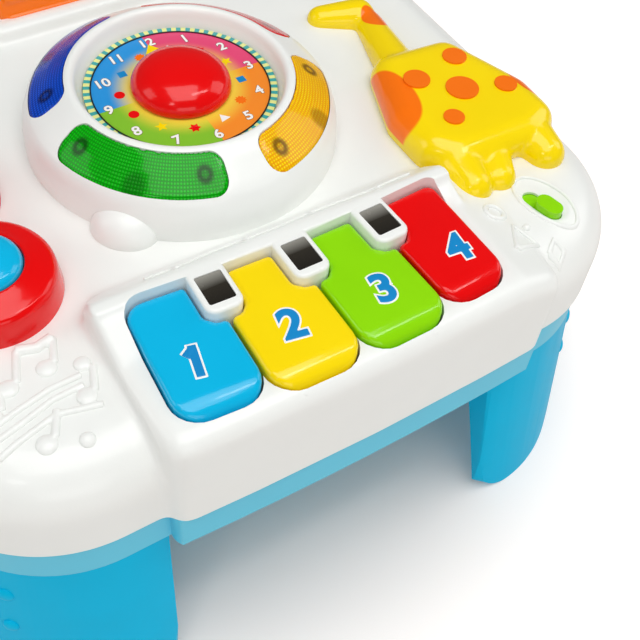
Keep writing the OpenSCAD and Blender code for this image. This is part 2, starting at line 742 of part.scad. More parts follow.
// The tray under the lenses, with a post at each end and a rib in the middle of each lens
module light_tray() {
    drop = lens_t * 1.25 + 0.7;
    color(white) translate([0, 0, top_z]) {
        rotate_extrude($fn = 120) polygon([[light_in_r, light_floor], [light_out_r, light_floor],
            [light_out_r, lens_rise(light_out_r) - drop], [light_out_r - light_wall, lens_rise(light_out_r - light_wall) - drop],
            [light_out_r - light_wall, light_floor + light_wall], [light_in_r + light_wall, light_floor + light_wall],
            [light_in_r + light_wall, lens_rise(light_in_r + light_wall) - drop],
            [light_in_r, lens_rise(light_in_r) - drop]]);
        for (a = lens_angles) rotate([0, 0, a]) {
            for (s = [-1, 1]) rotate([0, 0, s * (lens_half_angle - 9)])
                translate([(lens_in_r + lens_out_r) / 2, 0, light_floor])
                    cylinder(r = 2.8, h = lens_rise((lens_in_r + lens_out_r) / 2 + 2.8) - drop - light_floor);
            intersection() {
                rotate([0, 0, -20]) rotate_extrude(angle = 40, $fn = 120)
                    polygon([[light_in_r, light_floor], [light_out_r, light_floor],
                        [light_out_r, lens_rise(light_out_r) - drop - 2], [light_in_r, lens_rise(light_in_r) - drop - 2]]);
                translate([light_in_r - 2, -0.8, 0]) cube([light_out_r, 1.6, dome_rise]);
            }
        }
        // Feet on the table top
        for (a = [0:90:270]) rotate([0, 0, a]) translate([light_out_r - 3, 0, 0]) cylinder(r = 2.5, h = light_floor + 0.5);
    }
}

// Ring-shaped board: one arc in each half of a lens
module light_board() {
    low = light_floor + light_wall;
    color(board_green) translate([0, 0, top_z + low]) for (a = lens_angles, s = [-1, 1])
        rotate([0, 0, a + s * 13 - 9]) rotate_extrude(angle = 18, $fn = 120)
            translate([light_in_r + light_wall + 0.2, 0]) square([light_out_r - light_in_r - 2 * light_wall - 0.4, board_t]);
}

module lamps() {
    color([1, 1, 0.9]) translate([0, 0, top_z + light_floor + light_wall + board_t])
        for (a = lens_angles, s = [-1, 1]) rotate([0, 0, a + s * 13])
            translate([(light_in_r + light_out_r) / 2, 0, 0]) {
                cylinder(r = 1.5, h = 2);
                translate([0, 0, 2]) sphere(r = 1.5, $fn = 24);
            }
}

module clock_face() {
    color([0.8, 0.85, 0.2]) translate([0, 0, top_z + face_rise - face_t]) difference() {
        union() {
            cylinder(r = face_r, h = face_t, $fn = 128);
            translate([0, 0, -bush_l]) cylinder(r = bush_r, h = bush_l + cut / 2);
        }
        translate([0, 0, -bush_l - cut]) cylinder(r = spindle_r + spindle_play, h = bush_l + face_t + 2 * cut);
    }
}

module clock_line() {
    color([0.05, 0.05, 0.05]) translate([0, 0, top_z + face_rise]) tube(line_r + 0.6, line_r, 0.4, $fn = 128);
}

module clock_knob() {
    lift = knob_h * 0.35;
    color(red) translate([0, 0, knob_z]) difference() {
        rotate_extrude($fn = 96) {
            square([knob_r - 2, lift]);
            square([knob_r, lift - 2]);
            translate([knob_r - 2, lift - 2]) circle(2);
            intersection() {
                translate([0, knob_h - dome_radius()]) circle(dome_radius(), $fn = 200);
                translate([0, lift - 1]) square([knob_r - 1, knob_h]);
            }
        }
        translate([0, 0, -cut]) difference() {
            cylinder(r = knob_r - key_wall, h = lift - key_wall + cut);
            cylinder(r = bush_r + 1, h = lift + cut);
        }
        translate([0, 0, -cut]) cylinder(r = spindle_r, h = lift + cut);
    }
}

// Radius of the arc over the knob's top
function dome_radius() = (pow(knob_r - 1, 2) + pow(knob_h * 0.65, 2)) / (1.3 * knob_h);

module clock_pointer() {
    low = 0.25;
    color(yellow) translate([0, 0, knob_z]) difference() {
        translate([0, 0, low - knob_gap]) linear_extrude(knob_gap - low) polygon([[-2, 0], [2, 0],
            [2, pointer_l - 6], [4, pointer_l - 6], [0, pointer_l], [-4, pointer_l - 6], [-2, pointer_l - 6]]);
        translate([0, 0, -cut - knob_gap]) cylinder(r = bush_r + 1, h = 5);
    }
}

module knob_spindle() {
    low = top_z + face_rise - face_t - bush_l - 4;
    color(steel) translate([0, 0, low]) difference() {
        cylinder(r = spindle_r, h = knob_z + knob_h * 0.35 - low);
        translate([0, 0, 0.9]) tube(spindle_r + cut, spindle_r - 0.8, 2);
    }
}

module spindle_clip() {
    low = top_z + face_rise - face_t - bush_l - 3;
    color(steel) translate([0, 0, low]) tube(bush_r + 0.8, spindle_r - 0.75, 1.6);
}

// Outline of a key in its own place, before it is turned in the fan
function key_mid_y() = -(key_front + ridge_front) / 2;
// Lean of a key's side away from its own middle line, for the low side s = -1 and the high side s = 1
function key_lean(i, s) = s < 0 && i == 0 ? 0 : s > 0 && i == key_count - 1 ? -key_turn(i) : key_fan / 2;
// Distance of a key's side from its middle line at a place y
function key_side(i, s, y) = (s < 0 && i == 0 ? first_key_w - key_pitch / 2
    : s > 0 && i == key_count - 1 ? last_key_w - key_pitch / 2 : (key_pitch - key_gap) / 2)
    + (key_mid_y() - y) * tan(key_lean(i, s));
module key_outline(i, inset = 0) {
    offset(delta = -inset) difference() {
        key_slab(i);
        if (i > 0) fan(-key_fan / 2) sharp_outline(key_clear);
        if (i < key_count - 1) fan(key_fan / 2) sharp_outline(key_clear);
    }
}

// The middle of a key's back edge between its notches
function key_mid(i) = i == 0 ? (-key_side(i, -1, -key_back) + key_pitch / 2 - sharp_w / 2) / 2
    : i == key_count - 1 ? (key_side(i, 1, -key_back) - key_pitch / 2 + sharp_w / 2) / 2 : 0;
function arm_x(i) = -(fan_y + key_back) * sin(-key_turn(i)) + key_mid(i) * cos(key_turn(i));

module key(i, tint) {
    steps = 4;
    color(tint) difference() {
        union() {
            fan(key_turn(i)) translate([0, 0, key_z - key_h]) {
                linear_extrude(key_h - key_edge_r) key_outline(i);
                for (k = [1:steps]) translate([0, 0, key_h - key_edge_r])
                    linear_extrude(key_edge_r * sin(90 * k / steps))
                        key_outline(i, key_edge_r * (1 - cos(90 * k / steps)) + 0.01);
            }
            for (s = [-1, 1]) translate([arm_x(i) + s * arm_spread - arm_w / 2, 0, rod_z]) {
                translate([0, -key_back - 4, -hub_r]) cube([arm_w, key_back + 4 - rod_back, 2 * hub_r - 1]);
                translate([0, -rod_back, 0]) rotate([0, 90, 0]) cylinder(r = hub_r, h = arm_w);
            }
        }
        difference() {
            fan(key_turn(i)) translate([0, 0, key_z - key_h - cut])
                linear_extrude(key_h - key_wall + cut) key_outline(i, key_wall);
            fan(key_turn(i)) translate([key_mid(i), -pad_back, stem_z]) cylinder(r = 3, h = key_h);
        }
        translate([-table_w / 2, -rod_back, rod_z]) rotate([0, 90, 0]) cylinder(r = rod_r + rod_play, h = table_w);
    }
}

module key_1() { key(0, sky); }
module key_2() { key(1, yellow); }
module key_3() { key(2, lime); }
module key_4() { key(3, red); }

module key_pad(i) {
    color(rubber_grey) fan(key_turn(i)) translate([key_mid(i), -pad_back, board_z + board_t])
        cylinder(r = pad_r, h = stem_z - pad_gap - board_z - board_t);
}

module key_pad_1() { key_pad(0); }
module key_pad_2() { key_pad(1); }
module key_pad_3() { key_pad(2); }
module key_pad_4() { key_pad(3); }

// Posts that carry the rod: one at each end and one between the keys
post_x = [-window_left + 2, -key_pitch, 0, key_pitch, window_right - 2];
post_w = 4;

module key_rod() {
    l = post_x[4] - post_x[0] + post_w;
    color(steel) translate([post_x[0] - post_w / 2, -rod_back, rod_z]) rotate([0, 90, 0]) cylinder(r = rod_r, h = l);
}

module key_chassis() {
    color([0.85, 0.85, 0.85]) difference() {
        union() {
            translate([-window_left, -key_front + 4, chassis_z])
                cube([window_left + window_right, key_front - 4 - rod_back + 10, chassis_t]);
            translate([-88, -128, chassis_z]) cube([176.5, 12, chassis_t]);
            for (x = post_x) translate([x - post_w / 2, -rod_back - 4, chassis_z])
                cube([post_w, 8, rod_z + 3.5 - chassis_z]);
        }
        translate([-table_w / 2, -rod_back, rod_z]) rotate([0, 90, 0]) cylinder(r = rod_r, h = table_w);
        for (p = chassis_screw_at) translate([p[0], p[1], chassis_z - cut]) cylinder(r = screw_r + 0.2, h = chassis_t + 2 * cut);
    }
}

module key_board() {
    color(board_green) translate([-window_left + 4, -key_front + 16, board_z])
        cube([window_left + window_right - 8, 38, board_t]);
}

// A screw that points up from z = 0, with its head below
module screw(l) {
    cylinder(r = screw_r - 0.1, h = l);
    translate([0, 0, -2]) cylinder(r = screw_head_r, h = 2);
}

module chassis_screws() {
    color(steel) for (p = chassis_screw_at) translate([p[0], p[1], chassis_z]) screw(8);
}

module dark_inlays() {
    color([0.2, 0.19, 0.16]) for (i = [0:key_count - 2]) fan(sharp_turn(i))
        translate([-inlay_w / 2, -ridge_front - inlay_set - inlay_l, top_z + ridge_rise - inlay_t])
            cube([inlay_w, inlay_l, inlay_t - 0.3]);
}

// Profile of a round housing: a wall that leans in and a flat dome
module housing_profile(r, h, inset) {
    edge = 5;
    polygon([[0, 0], [r - inset, 0], [r - 1.6 - inset, h - edge - 3 - inset / 2], [r - 2.6 - inset, h - 5 - inset],
        [r - 4.8 - inset, h - 2.8 - inset], [r - 9 - inset, h - 1.2 - inset], [r - 15 - inset, h - inset], [0, h - inset]]);
}

module button_housing() {
    color(red) difference() {
        for (i = [0, 1]) button_place(i) rotate_extrude($fn = 96) housing_profile(housing_rs[i], housing_rise, 0);
        for (i = [0, 1]) button_place(i) translate([0, 0, -0.01]) rotate_extrude($fn = 96)
            housing_profile(housing_rs[i], housing_rise, housing_wall);
        for (i = [0, 1]) button_place(i) cylinder(r = button_r + button_gap, h = 2 * housing_rise);
    }
}

module push_button(i) {
    lift = flange_low();
    color(sky) button_place(i) rotate_extrude($fn = 96) {
        translate([0, lift]) square([flange_r, flange_t]);
        translate([0, lift]) square([button_r, button_top - 2 - lift]);
        intersection() {
            translate([0, button_top - crown_r()]) circle(crown_r(), $fn = 200);
            translate([0, button_top - 3]) square([button_r, 3]);
        }
        translate([0, button_pad_h() + pad_gap]) square([4, lift]);
    }
}

// Radius of the arc over a button's top
function crown_r() = (pow(button_r, 2) + 4) / 4;
function flange_low() = housing_rise - housing_wall - flange_t - rest_gap - flange_drop;
function button_pad_h() = flange_low() - 3.6;

module button_front() { push_button(0); }
module button_back() { push_button(1); }

module button_pad(i) {
    color(rubber_grey) button_place(i) cylinder(r = button_pad_r, h = button_pad_h());
}

module button_pad_front() { button_pad(0); }
module button_pad_back() { button_pad(1); }

// A rounded limb between two balls
module limb(a, ra, b, rb) {
    hull() {
        translate(a) sphere(r = ra, $fn = 22);
        translate(b) sphere(r = rb, $fn = 22);
    }
}

module giraffe() {
    high = giraffe_rise;
    color(yellow) difference() {
        translate([giraffe_x, -giraffe_y, top_z]) {
            hull() for (p = [[-21, 12, 12], [-21, -8, 12], [-16, -18, 11], [22, -21, 11],
                [32, -15, 11], [31, 4, 12], [18, 40, 12], [-10, 42, 12]])
                translate([p[0], p[1], high - p[2] - 1]) sphere(r = p[2], $fn = 22);
            limb([-17, -22, 6], 10.5, [-20, -38, 2], foot_r);
            limb([-3, -22, 5], 8, [-7.5, -39, -0.5], foot_r - 1.5);
            limb([22, -20, 6], 10, [20, -35.5, 1], foot_r + 0.5);
            limb([-4, 44, 6], 11, [6, 88, 4], 7.5);
            limb([4, 96, 5], 9.5, [-14, 104, 3], 7);
        }
        pillow(0, rim_z, top_z, shoulder_r);
        block_solid(0, rim_z);
        ridge_solid(0, rim_z);
    }
}

// Coat patches, shallow discs on the giraffe's back
module giraffe_patches() {
    color(orange) translate([giraffe_x, -giraffe_y, top_z + giraffe_rise - 1])
        for (p = [[6, 11, 8], [-10, 26, 6.5], [17, 32, 6], [27, 4, 5.5], [-10, -4, 5]])
            translate([p[0], p[1], 0.02]) cylinder(r = p[2], h = 0.8, $fn = 40);
}

module switch_slider() {
    shift = (slot_l - slider_l) / 2 - slider_gap;
    color(lime) switch_place() translate([shift, 0, 0]) {
        translate([0, 0, -wall - 1.3]) linear_extrude(slider_rise + wall + 0.3)
            stadium(slider_l, slot_w - 2 * slider_gap);
        linear_extrude(slider_rise) stadium(slider_l - 2, slot_w - 2 * slider_gap - 2);
        translate([0, 0, -wall - 2.8]) linear_extrude(1.5) stadium(slider_l + 5, slot_w + 3);
        translate([-1.5, -1.5, -wall - 6]) cube([3, 3, 4]);
    }
}

module switch_body() {
    shift = (slot_l - slider_l) / 2 - slider_gap;
    low = -wall - 10;
    color([0.3, 0.3, 0.32]) switch_place() difference() {
        union() {
            translate([-13, -8, low]) cube([26, 16, 6]);
            for (x = [-9, 2], y = [-8.5, 8.5]) translate([x, y, low]) cylinder(r = 1.8, h = 10);
            translate([-10, -8.5, low]) cube([13, 17, 2]);
        }
        translate([-2 - shift, -2, low + 2]) cube([4 + 2 * shift, 4, 6]);
    }
}

module roller() {
    color(orange) roller_place() rotate([0, 90, 0]) difference() {
        union() {
            cylinder(r = roller_r, h = roller_l, center = true);
            for (k = [0:rib_count - 1]) rotate([0, 0, k * 360 / rib_count])
                translate([roller_r + rib_h - 3.2, 0, 0]) cylinder(r = 3.2, h = roller_l - 8, center = true);
        }
        cylinder(r = axle_r + axle_play, h = roller_l + 2 * cut, center = true);
    }
}

module roller_axle() {
    color(steel) roller_place() rotate([0, 90, 0]) cylinder(r = axle_r, h = surround_in_l + 9.6, center = true);
}

module battery_door() {
    color(tray_blue) difference() {
        union() {
            translate([bay_x, bay_y, tray_z]) linear_extrude(wall)
                square([bay_l + 2 * door_rim - 2 * door_gap, bay_w + 2 * door_rim - 2 * door_gap], center = true);
            translate([bay_x + bay_l / 2, bay_y - 7 + door_gap, tray_z])
                cube([door_rim + 12 - door_gap, 14 - 2 * door_gap, wall - 1 - door_gap]);
        }
        translate([bay_x + bay_l / 2 + door_rim + 6, bay_y, tray_z - cut]) cylinder(r = screw_r + 0.2, h = 2 * wall);
    }
}

module door_screw() {
    color(steel) translate([bay_x + bay_l / 2 + door_rim + 6, bay_y, tray_z]) screw(6);
}

module batteries() {
    low = tray_z + wall + 0.2;
    color([0.25, 0.25, 0.28]) for (k = [0:battery_count - 1])
        translate([bay_x - battery_l / 2, bay_y + (k - (battery_count - 1) / 2) * battery_pitch, low + battery_r])
            rotate([0, 90, 0]) {
                cylinder(r = battery_r, h = battery_l - 1.2);
                cylinder(r = 2.6, h = battery_l);
            }
}

module battery_contacts() {
    low = tray_z + wall + 0.6;
    color(steel) for (k = [0:battery_count - 1], s = [-1, 1])
        translate([bay_x + s * (battery_l / 2 + bay_play + contact_t / 2) - contact_t / 2,
            bay_y + (k - (battery_count - 1) / 2) * battery_pitch - battery_r + 1, low])
            cube([contact_t - 0.1, 2 * battery_r - 2, 2 * battery_r - 1]);
}

module loudspeaker() {
    color([0.2, 0.2, 0.2]) translate([speaker_at[0], speaker_at[1], floor_z]) {
        tube(speaker_r, speaker_r - 3, 3);
        translate([0, 0, 1]) rotate_extrude() polygon([[9, 8], [speaker_r - 4, 0], [speaker_r - 2, 0], [speaker_r - 2, 1.5], [10, 10], [9, 10]]);
        translate([0, 0, 8]) cylinder(r = 14, h = speaker_h - 8);
    }
}

module main_board() {
    color(board_green) translate([board_at[0], board_at[1], floor_z + board_post_h]) difference() {
        union() {
            translate([-board_size[0] / 2, -board_size[1] / 2, 0]) cube([board_size[0], board_size[1], board_t]);
            translate([-8, -8, board_t - 0.1]) cube([16, 16, 2]);
            for (x = [-30, -22, 24, 32]) translate([x, 6, board_t - 0.1]) cylinder(r = 3, h = 8);
        }
        for (s = board_screw_at) translate([s[0] * (board_size[0] / 2 - 5), s[1] * (board_size[1] / 2 - 5), -cut])
            cylinder(r = 1.3, h = board_t + 2 * cut);
    }
}

module board_screws() {
    color(steel) translate([board_at[0], board_at[1], floor_z + board_post_h + board_t])
        for (s = board_screw_at) translate([s[0] * (board_size[0] / 2 - 5), s[1] * (board_size[1] / 2 - 5), 0]) {
            translate([0, 0, -5]) cylinder(r = 0.9, h = 5.1);
            cylinder(r = 2, h = 1.2);
        }
}

module shell_screws() {
    color(steel) for (p = shell_screw_at) translate([p[0], p[1], tray_z + 3]) screw(14);
}

module leg_front_left() { leg(-1, -1); }
module leg_front_right() { leg(1, -1); }
module leg_back_left() { leg(-1, 1); }
module leg_back_right() { leg(1, 1); }

top_shell();
base_tray();
leg_front_left();
leg_front_right();
leg_back_left();
leg_back_right();
clock_dome();
lens_green();
lens_amber();
lens_red();
lens_blue();
light_tray();
light_board();
lamps();
clock_face();
clock_line();
clock_knob();
clock_pointer();
knob_spindle();
spindle_clip();
key_1();
key_2();
key_3();
key_4();
key_pad_1();
key_pad_2();
key_pad_3();
key_pad_4();
key_rod();
key_chassis();
key_board();
chassis_screws();
dark_inlays();
button_housing();
button_front();
button_back();
button_pad_front();
button_pad_back();
giraffe();
giraffe_patches();
switch_slider();
switch_body();
roller();
roller_axle();
battery_door();
door_screw();
batteries();
battery_contacts();
loudspeaker();
main_board();
board_screws();
shell_screws();
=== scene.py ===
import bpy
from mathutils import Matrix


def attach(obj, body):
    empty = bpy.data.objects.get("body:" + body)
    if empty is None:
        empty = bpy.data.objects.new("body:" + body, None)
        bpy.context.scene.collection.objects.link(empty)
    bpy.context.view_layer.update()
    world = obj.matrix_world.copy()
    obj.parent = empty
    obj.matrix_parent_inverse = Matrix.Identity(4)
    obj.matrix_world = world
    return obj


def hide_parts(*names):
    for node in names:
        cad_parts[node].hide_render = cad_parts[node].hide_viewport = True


bl_info = {
    "name": "Musical activity table",
    "version": (1, 0, 0),
    "blender": (4, 5, 0),
    "location": "3D Viewport > Sidebar > Activity table",
    "description": "Dresses the packed activity table: moulded shell, keys, clock, lenses, buttons and legs",
    "category": "Object",
}

import math

import bmesh
import bpy
from mathutils import Matrix, Vector
from mathutils.bvhtree import BVHTree

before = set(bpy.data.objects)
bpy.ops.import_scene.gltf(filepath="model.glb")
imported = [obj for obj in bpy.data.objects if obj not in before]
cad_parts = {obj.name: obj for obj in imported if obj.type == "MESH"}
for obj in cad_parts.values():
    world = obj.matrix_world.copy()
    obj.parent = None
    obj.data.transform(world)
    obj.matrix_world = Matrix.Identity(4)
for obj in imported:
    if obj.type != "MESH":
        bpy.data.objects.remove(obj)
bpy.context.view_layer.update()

MM = 0.001
TOP = 170  # the table top's height, in millimetres


def linear(r, g, b):
    """An 8-bit screen colour as scene-linear values."""
    return tuple(round(c / 3294.6 if c <= 10 else ((c / 255 + 0.055) / 1.055) ** 2.4, 4) for c in (r, g, b))


def opaque(colour):
    return list(colour) + [1]


def tint(title, use, rgb):
    return bpy.props.FloatVectorProperty(name=title, description=use, subtype="COLOR", size=3, min=0, max=1,
                                         default=linear(*rgb))


def size_mm(title, use, value):
    return bpy.props.FloatProperty(name=title, description=use, default=value * MM, unit="LENGTH", subtype="DISTANCE",
                                   precision=4)


class TableColours(bpy.types.PropertyGroup):
    shell: tint("Shell", "Warm white of the top, the dome and the lamp tray", (244, 246, 243))
    tray: tint("Tray", "Pale blue of the bottom tray", (98, 206, 235))
    leg: tint("Legs", "Blue of the legs", (0, 188, 232))
    sky: tint("Sky blue", "First key and the two push buttons", (0, 184, 232))
    yellow: tint("Yellow", "Second key, giraffe and pointer", (255, 222, 0))
    lime: tint("Lime", "Third key and the switch slider", (144, 222, 0))
    red: tint("Red", "Fourth key, knob and button housing", (236, 0, 2))
    orange: tint("Orange", "Roller and coat patches", (255, 118, 6))
    numerals: tint("Numerals", "Blue of the numerals on the keys", (0, 138, 206))
    lens_green: tint("Green lens", "Front left lens", (0, 158, 4))
    lens_amber: tint("Amber lens", "Front right lens", (255, 176, 0))
    lens_red: tint("Red lens", "Back right lens", (214, 16, 20))
    lens_blue: tint("Blue lens", "Back left lens", (0, 62, 176))


class TableSizes(bpy.types.PropertyGroup):
    skin_grid: size_mm("Skin grid", "Mesh spacing of the moulded shell", 1.5)
    skin_wall: size_mm("Skin wall", "Wall of the moulded shell", 2.4)
    key_edge: size_mm("Key edge", "Rounding of the keys' edges", 2.6)
    key_dip: size_mm("Key dip", "Radius in which the keys' fronts round down", 9.6)
    numeral_height: size_mm("Numeral height", "Height of the numerals on the keys", 15)


def colours():
    return bpy.context.scene.table_colours


def sizes():
    return bpy.context.scene.table_sizes


# Materials

class Wiring:
    """Makes and joins the nodes of one material or of the world."""

    def __init__(self, owner):
        owner.use_nodes = True
        self.tree = owner.node_tree
        self.shader = self.tree.nodes.get("Principled BSDF")

    def put(self, node, inputs):
        """Sets a node's inputs to values, or joins them to other nodes' outputs."""
        for key, source in inputs.items():
            if isinstance(source, bpy.types.NodeSocket):
                self.tree.links.new(source, node.inputs[key])
            else:
                node.inputs[key].default_value = source
        return node

    def add(self, kind, inputs=None, **settings):
        node = self.tree.nodes.new("ShaderNode" + kind)
        for key, value in settings.items():
            setattr(node, key, value)
        return self.put(node, inputs or {})

    def sum(self, kind, *values):
        return self.add("Math", dict(enumerate(values)), operation=kind).outputs[0]

    def length(self, x, y):
        return self.sum("SQRT", self.sum("ADD", self.sum("MULTIPLY", x, x), self.sum("MULTIPLY", y, y)))

    def spread(self, value, low, high, least=0, most=1, smooth=True):
        """Maps low..high to least..most."""
        return self.add("MapRange", {"Value": value, "From Min": low, "From Max": high, "To Min": least,
                                     "To Max": most},
                        interpolation_type="SMOOTHSTEP" if smooth else "LINEAR").outputs["Result"]

    def blend(self, factor, a, b):
        return self.add("Mix", {"Factor": factor, "A": a, "B": b}, data_type="RGBA").outputs["Result"]

    def place(self):
        return self.add("TexCoord").outputs["Object"]

    def noise(self, place, scale, detail=2):
        return self.add("TexNoise", {"Vector": place, "Scale": scale, "Detail": detail}).outputs["Fac"]

    def axes(self, place):
        return self.add("SeparateXYZ", {"Vector": place}).outputs

    def bump(self, height, strength, depth):
        return self.add("Bump", {"Height": height, "Strength": strength, "Distance": depth}).outputs["Normal"]

    def bands(self, value, stops, kind="LINEAR"):
        """A colour for each (place, screen colour) stop."""
        node = self.add("ValToRGB", {"Fac": value})
        node.color_ramp.interpolation = kind
        row = node.color_ramp.elements
        for element, (spot, rgb) in zip(list(row), (stops[0], stops[-1])):
            element.position, element.color = spot, opaque(linear(*rgb))
        for spot, rgb in stops[1:-1]:
            row.new(spot).color = opaque(linear(*rgb))
        return node.outputs["Color"]


def moulded(name, colour, rough=0.3, coat=0.35, mottle=0.05, grain=0.25, grain_scale=1400, shine=0.5):
    """Injection-moulded plastic: slight shade and gloss variation and a fine skin grain."""
    mat = bpy.data.materials.new(name)
    w = Wiring(mat)
    place = w.place()
    cloud = w.noise(place, 38, 4)
    w.put(w.shader, {
        "Coat Weight": coat, "Coat Roughness": 0.05, "IOR": 1.49, "Specular IOR Level": shine,
        "Base Color": w.blend(cloud, opaque(c * (1 - mottle) for c in colour),
                              opaque(min(1, c * (1 + mottle * 0.6)) for c in colour)),
        "Roughness": w.spread(cloud, 0, 1, max(0.02, rough - 0.05), rough + 0.07, smooth=False),
        "Normal": w.bump(w.noise(place, grain_scale), grain, 0.00006)})
    return mat


def metal(name, colour, rough):
    """Drawn steel wire or screw stock with fine scratches."""
    mat = moulded(name, colour, rough, coat=0, mottle=0.12, grain=0.5, grain_scale=2600)
    w = Wiring(mat)
    w.put(w.shader, {"Metallic": 1})
    return mat


def lens_plastic(name, colour, turn):
    """Clear tinted plastic over a dotted reflector, with painted shade where two lamp posts and a stud stand under
    it.
    """
    mat = bpy.data.materials.new(name)
    w = Wiring(mat)
    m = w.sum
    place = w.place()
    # In millimetres, with the lens's middle on the x axis
    along = w.add("Mapping", {"Vector": place, "Rotation": (0, 0, -math.radians(turn)), "Scale": (1000, 1000, 1000)},
                  vector_type="POINT").outputs["Vector"]
    parts = w.axes(along)
    x, y = parts["X"], parts["Y"]
    across = m("ABSOLUTE", y)
    # Rows of small round dots along the arc
    pitch, middle = 1.25, 59.0
    row = m("SUBTRACT", m("FRACT", m("DIVIDE", w.length(x, y), pitch)), 0.5)
    column = m("SUBTRACT", m("FRACT", m("DIVIDE", m("MULTIPLY", m("ARCTAN2", y, x), middle), pitch)), 0.5)
    dots = w.spread(w.length(row, column), 0.42, 0.2)
    # Painted shade: the posts and the stud under the lens show through as dark shapes
    post = w.length(m("SUBTRACT", x, 52.5), m("SUBTRACT", across, 27.0))
    stud = w.length(m("SUBTRACT", x, 64.5), across)
    ring = m("MULTIPLY", w.spread(post, 4.6, 2.4), m("ADD", m("MULTIPLY", w.spread(post, 0.9, 2.0), 0.5), 0.4))
    shadow = m("MAXIMUM", ring, m("MULTIPLY", w.spread(stud, 6.4, 3.2), 0.5))
    # Painted glint: the dots are drawn lighter, unevenly by a noise, as if catching the light
    lit = m("MULTIPLY", dots, m("ADD", m("MULTIPLY", w.noise(place, 60), 1.2), 0.1))
    base = w.blend(lit, opaque(c * 0.85 for c in colour), opaque(min(1, c * 1.9 + 0.004) for c in colour))
    w.put(w.shader, {
        "Roughness": 0.12, "Coat Weight": 0.2, "Coat Roughness": 0.06, "Specular IOR Level": 0.2,
        "Base Color": w.blend(shadow, base, opaque(c * 0.16 for c in colour)),
        "Normal": w.bump(dots, 0.25, 0.0003)})
    return mat


def clock_print():
    """The printed dial: coloured quarters that fade to yellow inwards, and a striped rim."""
    mat = bpy.data.materials.new("clock_dial_print")
    w = Wiring(mat)
    m = w.sum
    place = w.place()
    parts = w.axes(place)
    x, y = parts["X"], parts["Y"]
    radius = m("MULTIPLY", w.length(x, y), 1000)
    turn = m("ADD", m("DIVIDE", m("ARCTAN2", y, x), 2 * math.pi), 0.5)
    quarters = w.bands(turn, ((0.0, (132, 196, 40)), (0.25, (250, 142, 30)), (0.5, (232, 70, 120)),
                              (0.75, (30, 150, 225))), "CONSTANT")
    stripe_count, rim_from = 60, 40.1
    stripe = m("GREATER_THAN", m("FRACT", m("MULTIPLY", turn, stripe_count)), 0.5)
    rim = w.blend(stripe, opaque(linear(236, 238, 150)), opaque(linear(60, 170, 170)))
    inner = w.blend(w.spread(radius, 33, 21), quarters, opaque(linear(246, 222, 70)))
    w.put(w.shader, {
        "Coat Weight": 0.3,
        "Base Color": w.blend(m("GREATER_THAN", radius, rim_from), inner, rim),
        "Roughness": w.spread(w.noise(place, 220), 0, 1, 0.3, 0.45, smooth=False)})
    return mat


def inlay_dark():
    """Near-black glossy inlay with a painted reflection that lightens it from near black at the front to light grey
    at the back.
    """
    mat = moulded("black_inlay_painted_reflection", (0.1, 0.1, 0.1), rough=0.25, coat=0.6)
    w = Wiring(mat)
    front, back = -0.1125, -0.0965
    # Painted reflection: the glossy black inlay is drawn lighter towards the back
    depth = w.spread(w.axes(w.place())["Y"], front, back, smooth=False)
    w.put(w.shader, {"Base Color": w.bands(depth, ((0, (26, 22, 16)), (0.6, (44, 40, 32)), (1, (150, 148, 140))))})
    return mat


GLOSSY = {"rough": 0.17, "coat": 0.4, "grain": 0.05, "shine": 0.3}


def giraffe_coat():
    """Glossy yellow with an orange mane painted along the left flank and one patch on the right."""
    c = colours()
    mat = moulded("giraffe_yellow_plastic", c.yellow, **GLOSSY)
    w = Wiring(mat)
    m = w.sum
    parts = w.axes(w.place())
    x, y, z = (m("MULTIPLY", parts[k], 1000) for k in ("X", "Y", "Z"))
    painted = None
    for cx, cy, rx, ry in ((86, -36, 15, 25), (157, -58, 8, 12), (122, 22, 6, 9)):
        far = w.length(m("DIVIDE", m("SUBTRACT", x, cx), rx), m("DIVIDE", m("SUBTRACT", y, cy), ry))
        patch = w.spread(far, 1.03, 0.97, smooth=False)
        painted = patch if painted is None else m("MAXIMUM", painted, patch)
    above = w.spread(z, 173.6, 174.2, smooth=False)
    yellow = w.shader.inputs["Base Color"].links[0].from_socket
    w.put(w.shader, {"Base Color": w.blend(m("MULTIPLY", painted, above), yellow, opaque(c.orange))})
    return mat


PLASTICS = {}


